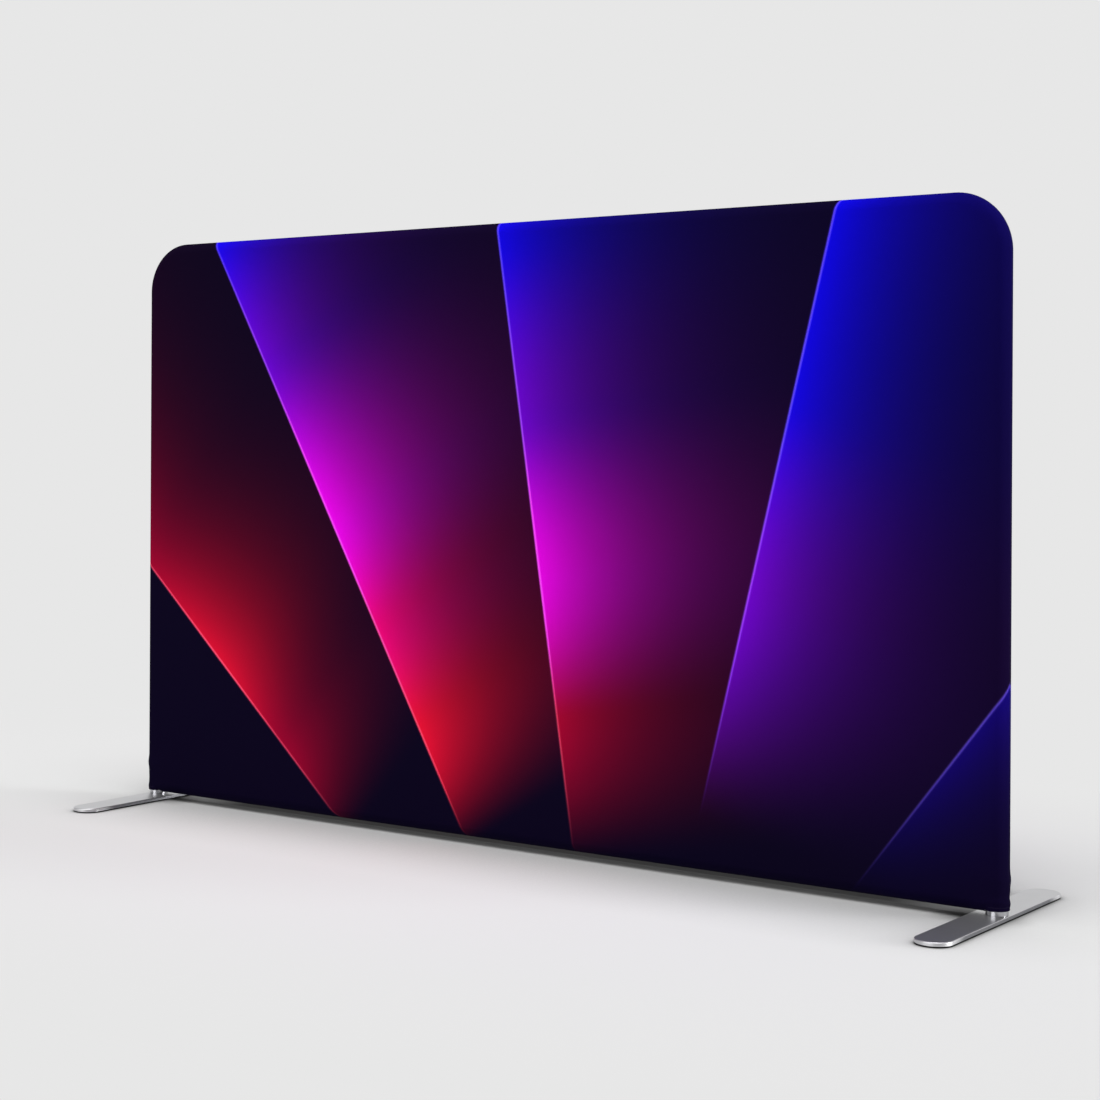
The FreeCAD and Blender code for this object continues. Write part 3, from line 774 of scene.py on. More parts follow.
@dataclass
class FabricCover:
    """The zipped cover, stretched over the tubes: round about each tube and flat between them.

    The tubes' centre line runs up one post, over the top and down the other. Across it, a point of the
    cover is the centre line plus the cover's radius times the sine of a turn outwards less its cosine along
    Y, so the turn is nought on the front face, a quarter at the seam and a half on the back face.

    Attributes:
        bend: Radius of the centre line at the top corners.
        thickness: Thickness of the knit.
        hem_below_post: How far the hem reaches below the end of the post.
        slot: Height of the slot that the zip closes.
        valley: Width over which the fabric bridges the valley between the bottom rail and a post.
        stretch: Share by which the cloth is stretched on the frame.
        near_post: Width beside each post in which the points lie close together.
        gathers: Folds where the fabric gathers above each hem.
        ripple: A fold that comes and goes three times round the post.
        fold_sway: How far the folds sway up and down round the post.
        fold_fade: Distances out from the post's centre line at which they set in and are full.
        hem_bead: Radius of the rolled hem.
        hem_sunk: How far the hem's middle lies inside the cover's face.
        hem_loss: Share of its radius that the hem loses where it passes under the rail.
        hem_thins: Shares of the cover's radius, in from the post, at which that begins and ends.
        seam_start: First stitch of the seam to its end.
        seam_pitch: Distance between its stitches.
        seam_slant: Slope of its zigzag.
        zip_pitch: Distance between the stitches along the zip.
        zip_margin: Those stitches to the slot.
        hem_margin: Stitches round a post to its hem.
        hem_turn: How far round the post they reach to each side.
        hem_stitches: Their number.
        stitch: Places along a stitch, each with its radius there.
        count: The numbers of points.
    """

    bend: float = 100 * MM
    thickness: float = 0.8 * MM
    hem_below_post: float = 2 * MM
    slot: float = 7.2 * MM
    valley: float = 9 * MM
    stretch: float = 1.04
    near_post: float = 60 * MM
    gathers: tuple[Pucker, ...] = (
        Pucker(2.2 * MM, (72 * MM, 64 * MM), 13 * MM),
        Pucker(1.5 * MM, (7 * MM, 15 * MM), 6 * MM),
        Pucker(-0.4 * MM, (30 * MM, 30 * MM), 8 * MM),
    )
    ripple: Pucker = Pucker(0.6 * MM, (42 * MM, 42 * MM), 7 * MM)
    fold_sway: float = 3 * MM
    fold_fade: tuple[float, float] = (-60 * MM, -4 * MM)
    hem_bead: float = 1 * MM
    hem_sunk: float = 0.4 * MM
    hem_loss: float = 0.45
    hem_thins: tuple[float, float] = (0.6, 0.78)
    seam_start: float = 2 * MM
    seam_pitch: float = 3.6 * MM
    seam_slant: float = 0.9
    zip_pitch: float = 4 * MM
    zip_margin: float = 3 * MM
    hem_margin: float = 7 * MM
    hem_turn: float = 1.95
    hem_stitches: int = 30
    stitch: tuple[tuple[float, float], ...] = (
        (-1.5 * MM, 0.0),
        (-1.1 * MM, 0.16 * MM),
        (0.0, 0.26 * MM),
        (1.1 * MM, 0.16 * MM),
        (1.5 * MM, 0.0),
    )
    count: CoverCounts = CoverCounts()

    def __post_init__(self) -> None:
        """Read the tubes' and the zip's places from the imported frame."""
        post_low, post_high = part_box("right_post")
        rail_low, rail_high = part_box("bottom_rail_right")
        top_low, top_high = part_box("top_rail_right")
        tape_low, tape_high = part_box("zip_tapes")
        self.radius = -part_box("front_panel")[0].y
        self.post_x = (post_low.x + post_high.x) / 2
        self.rail_z = (rail_low.z + rail_high.z) / 2
        self.top_z = (top_low.z + top_high.z) / 2
        self.hem_z = post_low.z - self.hem_below_post
        self.zip_x = tape_high.x
        zip_z = (tape_low.z + tape_high.z) / 2
        self.slot_low = zip_z - self.slot / 2
        self.slot_high = zip_z + self.slot / 2
        self.sleeve_share = np.linspace(0, 1, self.count.sleeve)
        self.wrap_heights = np.linspace(self.rail_z, self.slot_low, self.count.wrap)[1:]
        self.slot_heights = np.linspace(self.slot_low, self.slot_high, self.count.beside_slot)
        self.mitre_turn = math.asin((self.rail_z - self.hem_z) / self.radius)
        self.path, self.outward = self.centre_line()

    def post_heights(self) -> np.ndarray:
        """Heights of the rows on a post, close together near the foot and wider apart above.

        Returns:
            The heights, from the hem to the bend.
        """
        sleeve = self.hem_z + self.sleeve_share * (self.rail_z - self.hem_z)
        rise = self.top_z - self.bend - self.slot_high
        above = self.slot_high + rise * np.linspace(0, 1, self.count.post)[1:] ** self.count.post_ease
        return np.concatenate([sleeve, self.wrap_heights, self.slot_heights[1:], above])

    def centre_line(self) -> tuple[np.ndarray, np.ndarray]:
        """The tubes' centre line from the left hem to the right one, in X and Z.

        Returns:
            Its points, and at each the direction square to it that points out of the panel.
        """
        heights = self.post_heights()
        flat_x = self.post_x - self.bend
        turn = np.linspace(math.pi, QUARTER_TURN, self.count.bend)[1:]
        corner_way = np.stack([np.cos(turn), np.sin(turn)], axis=-1)
        corner = np.array([-flat_x, self.top_z - self.bend]) + self.bend * corner_way
        across = np.linspace(-flat_x, flat_x, self.count.top)[1:-1]
        top = np.stack([across, np.full_like(across, self.top_z)], axis=-1)
        post = np.stack([np.full_like(heights, -self.post_x), heights], axis=-1)
        left = np.concatenate([post, corner])
        left_way = np.concatenate([np.tile([-1.0, 0.0], (len(post), 1)), corner_way])
        mirror = np.array([-1.0, 1.0])
        path = np.concatenate([left, top, left[::-1] * mirror])
        outward = np.concatenate([left_way, np.tile([0.0, 1.0], (len(top), 1)), left_way[::-1] * mirror])
        return path, outward

    def rim(self, rows: slice | np.ndarray, start: float, end: float) -> Patch:
        """The round edge of the cover along part of the centre line.

        Args:
            rows: Which points of the centre line.
            start: First turn across it.
            end: Last turn across it.

        Returns:
            The patch; the cloth goes on flat from the nearer face.
        """
        path = self.path[rows][:, None]
        outward = self.outward[rows][:, None]
        turn = np.linspace(start, end, self.count.rim)[None, :]
        edge = path + outward * (self.radius * np.sin(turn))[..., None]
        flat = path + outward * (self.radius * np.minimum(turn, math.pi - turn))[..., None]
        return Patch(grid(edge[..., 0], -self.radius * np.cos(turn), edge[..., 1]), flat)

    def flat_face(self, face: Face, low_z: float, across: np.ndarray) -> Patch:
        """The flat of one face, as rings from its edge to its middle.

        Args:
            face: Front or back.
            low_z: Height of its lower edge.
            across: X of the points along its lower edge, from left to right.

        Returns:
            The patch; each ring is the outline drawn in towards the middle.
        """
        above = self.path[self.path[:, 1] > low_z - WELD]
        lower = np.stack([across[::-1], np.full_like(across, low_z)], axis=-1)
        outline = np.concatenate([above, lower[1:]])[:, None]
        middle = np.array([0.0, (low_z + self.top_z) / 2])
        share = 1 - np.linspace(1, 0, self.count.rings)[None, :, None] ** self.count.ring_ease
        flat = middle + (outline - middle) * share
        patch = Patch(grid(flat[..., 0], face.value * self.radius, flat[..., 1]), flat)
        return patch if face is Face.FRONT else patch.flipped()

    def bridged(self, inward: np.ndarray, below: np.ndarray) -> np.ndarray:
        """Half depth of the cover near a lower corner.

        The post's round and the rail's round meet where the distance in from the post equals the depth
        below the rail. The lesser of the two sets the depth, and a smooth lesser bridges the valley.

        Args:
            inward: Distance in from the post's centre line.
            below: Depth below the rail's centre line.

        Returns:
            Distance from the middle plane to the fabric.
        """
        width = self.valley * (1 - (below / self.radius) ** 2) + WELD
        share = np.clip(0.5 + 0.5 * (below - inward) / width, 0, 1)
        lesser = below * (1 - share) + inward * share - width * share * (1 - share)
        lesser = np.clip(lesser, 0, self.radius)
        return np.sqrt(self.radius**2 - lesser**2)

    def trough_turns(self) -> np.ndarray:
        """Turns under the bottom rail from front to bottom, with one at the height of the hem.

        Returns:
            The turns, from nought to a quarter.
        """
        upper = np.linspace(0, self.mitre_turn, self.count.mitre)
        lower = np.linspace(self.mitre_turn, QUARTER_TURN, self.count.under)
        return np.concatenate([upper, lower[1:]])

    def across_shares(self) -> np.ndarray:
        """Shares of the half width for the points along the bottom, close together near the posts.

        Returns:
            The shares, from minus one to one.
        """
        near = np.linspace(0, self.near_post, self.count.near) / self.post_x
        far = np.linspace(0, 1, self.count.far)[1:] ** self.count.far_ease
        half = np.concatenate([near, near[-1] + (1 - near[-1]) * far])
        return np.concatenate([half - 1, (1 - half[::-1])[1:]])

    def trough(self) -> Patch:
        """The fabric under the bottom rail and up the back to the zip.

        A turn about the rail gives the depth below it, and the ends draw in by that depth beside the posts.

        Returns:
            The patch; the cloth goes on flat from the nearer face.
        """
        front = self.trough_turns()
        turn = np.concatenate([front, math.pi - front[::-1][1:]])
        below = self.radius * np.sin(turn)[None, :]
        x = self.across_shares()[:, None] * (self.post_x - below)
        depth = self.bridged(self.post_x - np.abs(x), below)
        side = np.where(np.cos(turn) > 0, Face.FRONT.value, Face.BACK.value)[None, :]
        points = grid(x, side * depth, self.rail_z - below)
        drop = self.radius * np.minimum(turn, math.pi - turn)[None, :]
        flat = np.stack(np.broadcast_arrays(x, self.rail_z - drop), axis=-1)
        strip_x = self.across_shares()[:, None] * self.post_x
        strip = grid(strip_x, self.radius, self.wrap_heights[None, :])
        points = np.concatenate([points, strip], 1)
        return Patch(points, np.concatenate([flat, strip[..., (0, 2)]], 1)).flipped()

    def sleeve_inside(self, side: int, face: Face) -> Patch:
        """The inner side of a post's sleeve, from its hem up to the valley beside the rail's round.

        Its depth is that of the cover near a lower corner.

        Args:
            side: Left or right.
            face: Front or back.

        Returns:
            The patch.
        """
        turn = np.linspace(0, self.mitre_turn, self.count.mitre)[:, None]
        inward = self.radius * np.sin(turn)
        z = self.hem_z + self.sleeve_share[None, :] * (self.rail_z - inward - self.hem_z)
        depth = self.bridged(inward, self.rail_z - z)
        patch = bare(grid(side * (self.post_x - inward), face.value * depth, z))
        return patch if side * face.value > 0 else patch.flipped()

    def puckers(self, points: np.ndarray) -> np.ndarray:
        """Push the fabric out a little where it gathers above each hem.

        Bell curves over the height, swaying a little round the post, fade out a hand's breadth in from it.

        Args:
            points: Any array of points.

        Returns:
            The moved points.
        """
        x, y, z = np.moveaxis(points, -1, 0)
        out = np.abs(x) - self.post_x
        round_post = np.arctan2(y, out)
        side = np.sign(x)
        rise = z - self.hem_z + self.fold_sway * np.sin(2 * round_post + side)
        push = sum(fold.stand(rise, side) for fold in self.gathers)
        push = push + self.ripple.stand(rise, side) * (1 + np.sin(3 * round_post)) / 2
        push = push * smooth_step(out, *self.fold_fade)
        return points + grid(push * side * np.maximum(out, 0), push * y, 0) / self.radius

    def shaped(self, patches: list[Patch]) -> list[Patch]:
        """The patches with the fabric's puckers."""
        return [Patch(self.puckers(patch.points), patch.cloth) for patch in patches]

    def front(self) -> Object:
        """The front panel, which passes under the bottom rail and up the back to the zip.

        Returns:
            The panel's outer face.
        """
        low_rows = np.flatnonzero(self.path[:, 1] < self.slot_low + WELD)
        middle = len(low_rows) // 2
        patches = [
            self.rim(slice(None), 0, QUARTER_TURN),
            self.rim(low_rows[:middle], QUARTER_TURN, math.pi),
            self.rim(low_rows[middle:], QUARTER_TURN, math.pi),
            self.flat_face(Face.FRONT, self.rail_z, self.across_shares() * self.post_x),
            self.trough(),
        ]
        patches += [self.sleeve_inside(side, face) for side in SIDES for face in Face]
        return weld("front_cover", self.shaped(patches))

    def back(self) -> Object:
        """The back panel above the zip, with a tab beside each end of the slot.

        Returns:
            The panel's outer face.
        """
        rows = np.flatnonzero(self.path[:, 1] > self.slot_low - WELD)
        across = self.across_shares() * self.post_x
        across = np.unique(np.concatenate([across, [-self.zip_x, self.zip_x]]))
        patches = [
            self.rim(rows, QUARTER_TURN, math.pi),
            self.flat_face(Face.BACK, self.slot_high, across),
        ]
        for side in SIDES:
            tab = across[side * across > self.zip_x - WELD][:, None]
            patches.append(bare(grid(tab, self.radius, self.slot_heights[None, :])).flipped())
        return weld("back_cover", self.shaped(patches))

    def hem(self, side: int) -> Object:
        """The rolled hem round a post: a thin bead that dips to the underside on the post's inner side.

        Its line is a circle round the post, no higher than the rail's round.

        Args:
            side: Left or right.

        Returns:
            The hem.
        """
        turn = np.linspace(0, math.tau, self.count.hem)
        inward = -self.radius * np.cos(turn)
        away = grid(side * np.cos(turn), side * np.sin(turn), 0)
        height = np.minimum(self.hem_z, self.rail_z - inward)
        line = self.puckers(away * (self.radius - self.hem_sunk) + grid(side * self.post_x, 0, height))
        up = np.broadcast_to([0.0, 0.0, 1.0], away.shape)
        thinning = smooth_step(inward / self.radius, *self.hem_thins)
        radii = self.hem_bead * (1 - self.hem_loss * thinning)
        bead = tubes(line[None], away[None], up[None], radii, self.count.hem_sides)
        return weld("left_hem" if side < 0 else "right_hem", [patch.flipped() for patch in bead])

    def stitch_rows(self) -> list[tuple[np.ndarray, np.ndarray, np.ndarray]]:
        """Every stitch: a zigzag along the seam, a row each side of the zip and one above each hem.

        Returns:
            For each row: the stitches' middles, their directions and the fabric's outward normals.
        """
        above = self.path[:, 1] > self.slot_low - WELD
        seam, seam_out = self.path[above], self.outward[above]
        length = np.concatenate([[0], np.cumsum(np.linalg.norm(np.diff(seam, axis=0), axis=1))])
        at = np.arange(self.seam_start, length[-1], self.seam_pitch)
        x, z, out_x, out_z = (np.interp(at, length, values) for values in (*seam.T, *seam_out.T))
        normal = grid(out_x, 0, out_z)
        normal = normal / np.linalg.norm(normal, axis=1)[:, None]
        zigzag = self.seam_slant * np.where(np.arange(len(at)) % 2, 1, -1)
        rows = [(grid(x, 0, z) + normal * self.radius, grid(normal[:, 2], zigzag, -normal[:, 0]), normal)]
        at = np.arange(self.zip_pitch - self.zip_x, self.zip_x, self.zip_pitch)
        one = np.ones_like(at)
        for z in (self.slot_low - self.zip_margin, self.slot_high + self.zip_margin):
            rows.append((grid(at, self.radius, z), grid(one, 0, 0), grid(0, one, 0)))
        turn = np.linspace(-self.hem_turn, self.hem_turn, self.hem_stitches)
        for side in SIDES:
            normal = grid(side * np.cos(turn), np.sin(turn), 0)
            along = grid(-side * np.sin(turn), np.cos(turn), 0)
            foot = np.array([side * self.post_x, 0, self.hem_z + self.hem_margin])
            rows.append((normal * self.radius + foot, along, normal))
        return rows

    def stitching(self) -> Object:
        """All the stitches as short round bars, thickest in the middle, half sunk in the fabric.

        Returns:
            The stitching.
        """
        middles, ways, normals = (np.concatenate(part) for part in zip(*self.stitch_rows()))
        ways = ways / np.linalg.norm(ways, axis=1)[:, None]
        across = np.cross(normals, ways)
        stations, radii = np.array(self.stitch).T
        lines = self.puckers(middles)[:, None] + ways[:, None] * stations[None, :, None]
        frames = [np.broadcast_to(way[:, None], lines.shape) for way in (across, normals)]
        return weld("cover_stitching", tubes(lines, *frames, radii, self.count.stitch_sides))

    def dress(self, knit: Material, thread: Material) -> None:
        """Args:
            knit: The printed knit.
            thread: The sewing thread.
        """
        front, back, stitches = self.front(), self.back(), self.stitching()
        hems = [self.hem(side) for side in SIDES]
        for piece, slot in ((front, "printed_fabric_front"), (back, "printed_fabric_back")):
            thicken(piece, self.thickness)
        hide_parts("front_panel")
        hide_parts("back_panel")
        for piece in (front, back, *hems):
            set_on_frame(piece, knit)
        set_on_frame(stitches, thread)


@dataclass
class ZipFastener:
    """The zip's two tapes and its two rows of teeth.

    Attributes:
        pitch: Distance from one tooth to the next along a row.
        shifts: First tooth of the lower and of the upper row, as shares of the pitch.
        wire: Radius of a tooth's wire.
        wire_sides: Sides of that wire.
        tooth: Radii along a tooth, as shares of the wire's.
        lean: How far each tooth leans along the row.
        row_gap: Half the gap between the two rows while they are closed.
        parting: Half the gap that the slider's neck needs between them; not used.
        tape_width: Width of one tape.
        tape_points: Number of points along it.
        tape_half: Shares of its width, from an edge to the middle, where its points lie.
        edge_roll: Extra thickness of its woven edge.
        edge_rise: Shares of its half width at which that thickness begins and is full.
        wave: Height of the slow waves along it.
        wave_length: Their length.
    """

    pitch: float = 1.8 * MM
    shifts: tuple[float, float] = (0.25, 0.75)
    wire: float = 0.5 * MM
    wire_sides: int = 5
    tooth: tuple[float, ...] = (0.0, 0.9, 1.0, 1.0, 1.0, 0.9, 0.0)
    lean: float = 0.35 * MM
    row_gap: float = 0.1 * MM
    parting: float = 1.45 * MM
    tape_width: float = 12 * MM
    tape_points: int = 400
    tape_half: tuple[float, ...] = (0.0, 0.02, 0.06, 0.12, 0.3, 0.5)
    edge_roll: float = 0.15 * MM
    edge_rise: tuple[float, float] = (0.78, 0.92)
    wave: float = 0.05 * MM
    wave_length: float = 12 * MM

    def teeth(self, name: str, side: int, shift: float) -> Object:
        """One row of teeth: each is an arch of wire across its row.

        Along a tooth, the height above the tape follows half an ellipse.

        Args:
            name: The piece's name.
            side: Below or above the middle of the zip.
            shift: Place of the first tooth, as a share of the pitch.

        Returns:
            The row of teeth.
        """
        low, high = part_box("zip_chain")
        centre = (low.z + high.z) / 2
        turn = np.linspace(0, math.pi, len(self.tooth))
        share = -np.cos(turn)
        arch = np.sin(turn)
        row_half = (high.z - low.z) / 4
        radii = self.wire * np.array(self.tooth)
        at = np.arange(low.x + shift * self.pitch + self.wire, high.x - self.wire, self.pitch)[:, None]
        x = at + self.lean * share[None, :]
        y = low.y + (high.y - low.y - self.wire) * arch[None, :]
        z = centre + side * (row_half - share[None, :] * (row_half - self.row_gap))
        lines = grid(x, y, z)
        way = np.gradient(lines, axis=1)
        way = way / np.linalg.norm(way, axis=-1)[..., None]
        across = np.cross(way, [0.0, side, 0.0])
        across = across / np.linalg.norm(across, axis=-1)[..., None]
        piece = weld(name, tubes(lines, across, np.cross(way, across), radii, self.wire_sides))
        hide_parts("zip_chain")
        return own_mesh(piece)

    def tape(self, name: str, low_z: float, high_z: float) -> Object:
        """One tape: a flat woven strip with a thicker rolled edge at both sides and slow waves along it.

        A smooth step over its width raises the edges, and a sine along it makes the waves.

        Args:
            name: The piece's name.
            low_z: Its lower edge.
            high_z: Its upper edge.

        Returns:
            The tape.
        """
        low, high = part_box("zip_tapes")
        x = np.linspace(low.x, high.x, self.tape_points)[:, None]
        half = np.array(self.tape_half)
        across = np.concatenate([half, 1 - half[-2::-1]])[None, :]
        edge = smooth_step(np.abs(2 * across - 1), *self.edge_rise)
        wave = self.wave * np.sin(x * math.tau / self.wave_length)
        y = high.y - self.edge_roll * (1 - edge) - self.wave + wave
        piece = weld(name, [bare(grid(x, y, low_z + (high_z - low_z) * across)).flipped()])
        thicken(piece, high.y - low.y - self.edge_roll - 2 * self.wave)
        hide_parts("zip_tapes")
        return piece

    def dress(self, coil: Material, tape: Material) -> None:
        """Build the tapes and the teeth and finish them.

        Args:
            coil: The teeth's nylon.
            tape: The woven tape.
        """
        low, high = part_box("zip_tapes")
        lower_row = self.teeth("lower_zip_teeth", SIDES[0], self.shifts[0])
        upper_row = self.teeth("upper_zip_teeth", SIDES[1], self.shifts[1])
        lower = self.tape("lower_zip_tape", low.z, low.z + self.tape_width)
        upper = self.tape("upper_zip_tape", high.z - self.tape_width, high.z)
        for piece, material in ((lower_row, coil), (upper_row, coil), (lower, tape), (upper, tape)):
            set_on_frame(piece, material)


@dataclass
class SnapSprings:
    """The strip spring behind each snap button: a flat under the button, a leg, a round fold, a free leg.

    Attributes:
        width: Width of the strip.
        thickness: Its thickness.
        length: Button to the centre of the fold.
        fold: Radius of the fold, outside.
        flat: Reach of the flat to each side of the button.
        sleeve_wall: Wall of the sleeve round it.
        clearance: Free leg to the far side of the sleeve.
        squareness: Power that squares the strip's section; one leaves it oval, nought would make it a box.
        fold_points: Number of points round the fold.
        leg_points: Number along a leg.
        section_points: Number round the strip's section.
    """

    width: float = 9 * MM
    thickness: float = 0.8 * MM
    length: float = 46 * MM
    fold: float = 3.5 * MM
    flat: float = 8 * MM
    sleeve_wall: float = 2.5 * MM
    clearance: float = 0.3 * MM
    squareness: float = 0.2
    fold_points: int = 17
    leg_points: int = 13
    section_points: int = 17

    def outline(self, upper: float, lower: float) -> np.ndarray:
        """The strip's outer face from the side, from under the button round the fold to the free end.

        A leg's line touches the fold's circle where the turn from its far end's bearing has a cosine of the
        radius over the distance.

        Args:
            upper: Height of the flat over the tube's centre line.
            lower: Height of the free end.

        Returns:
            Points along the tube from the button, and up.
        """
        knee = np.array([-self.flat, upper])
        free_end = np.array([self.flat, lower])
        centre = np.array([-self.length, (upper + lower) / 2])
        turns = []
        for far, way in ((knee, 1), (free_end, -1)):
            away = far - centre
            turns.append(math.atan2(away[1], away[0]) + way * math.acos(self.fold / np.linalg.norm(away)))
        turn = np.linspace(turns[0], turns[1] + math.tau, self.fold_points)
        fold = centre + self.fold * np.stack([np.cos(turn), np.sin(turn)], axis=-1)
        share = np.linspace(0, 1, self.leg_points)[:, None]
        start = np.array([[self.flat, upper]])
        upper_leg = knee + (fold[0] - knee) * share[:-1]
        lower_leg = fold[-1] + (free_end - fold[-1]) * share[1:]
        return np.concatenate([start, upper_leg, fold, lower_leg])

    def strip(self, line: np.ndarray) -> np.ndarray:
        """A flat strip whose outer face follows a line: a squared oval carried along it, shut at both ends.

        Args:
            line: Points along and up.

        Returns:
            Stations by points round the section, by along, across and up.
        """
        way = np.gradient(line, axis=0)
        way = way / np.linalg.norm(way, axis=1)[:, None]
        inward = np.stack([-way[:, 1], way[:, 0]], axis=-1)
        middle = line + inward * self.thickness / 2
        ends = np.r_[0, np.arange(len(line)), len(line) - 1]
        size = np.ones(len(ends))
        size[[0, -1]] = 0
        turn = np.linspace(0, -math.tau, self.section_points)
        squared = [np.sign(wave) * np.abs(wave) ** self.squareness for wave in (np.cos(turn), np.sin(turn))]
        across = self.width / 2 * size[:, None] * squared[0]
        rise = (self.thickness / 2 * size[:, None] * squared[1])[..., None]
        side_view = middle[ends][:, None] + inward[ends][:, None] * rise
        return grid(side_view[..., 0], across, side_view[..., 1])

    def spring(self, button: str) -> Object:
        """The spring of one button, in one fixed shape; the real one bends as the button is pressed.

        Its points go from the tube's directions, along, across and towards the button, into the frame's.

        Args:
            button: The button's body and node.

        Returns:
            The spring.
        """
        joint = button.removesuffix("_button")
        sleeve = next(name for name in (f"{joint}_sleeve", f"{joint}_rail_stub") if name in frame["nodes"])
        low, high = (np.array(corner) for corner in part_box(sleeve))
        button_low, button_high = (np.array(corner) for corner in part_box(button))
        offset = (button_low + button_high - low - high) / 2
        long_way = np.argmax(high - low)
        along = np.sign(offset[long_way]) * np.eye(3)[long_way]
        inward = offset - along * (offset @ along)
        rise = np.linalg.norm(inward)
        inward = inward / rise
        across = np.cross(inward, along)
        base = (low + high) / 2 + along * (offset @ along)
        upper = rise - np.abs((button_high - button_low) @ inward) / 2
        bore = np.abs((high - low) @ across) / 2 - self.sleeve_wall
        lower = self.clearance - math.sqrt(bore**2 - (self.width / 2) ** 2)
        points = self.strip(self.outline(upper, lower))
        turned = base + points @ np.stack([along, across, inward])
        piece = weld(f"{joint}_spring", [bare(turned)])
        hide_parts("snap_springs")
        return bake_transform(piece)

    def dress(self, steel: Material) -> None:
        """Build and finish a spring for every button.

        Args:
            steel: The tempered strip steel.
        """
        for button in (name for name in frame["nodes"] if name.endswith("_button")):
            piece = self.spring(button)
            piece.data.materials.append(steel)
            log.info("spring %s with %d faces", piece.name, len(piece.data.polygons))


@dataclass(frozen=True)
class Lamp:
    """A far soft lamp.

    Attributes:
        name: Its name.
        strength: Light on a surface square to it, where pi turns white to full white.
        spread_deg: How wide it looks.
        azimuth_deg: Where it stands; nought is in front, ninety to the right.
        height_deg: Its height above the floor.
    """

    name: str
    strength: float
    spread_deg: float
    azimuth_deg: float
    height_deg: float

    def build(self) -> None:
        """Hang the lamp, turned to the middle of the scene."""
        data = bpy.data.lights.new(self.name, "SUN")
        data.energy = self.strength
        data.angle = math.radians(self.spread_deg)
        piece = bpy.data.objects.new(self.name, data)
        turn = Matrix.Rotation(math.radians(self.azimuth_deg), 4, "Z")
        piece.matrix_world = turn @ Matrix.Rotation(QUARTER_TURN - math.radians(self.height_deg), 4, "X")
        bpy.context.scene.collection.objects.link(piece)


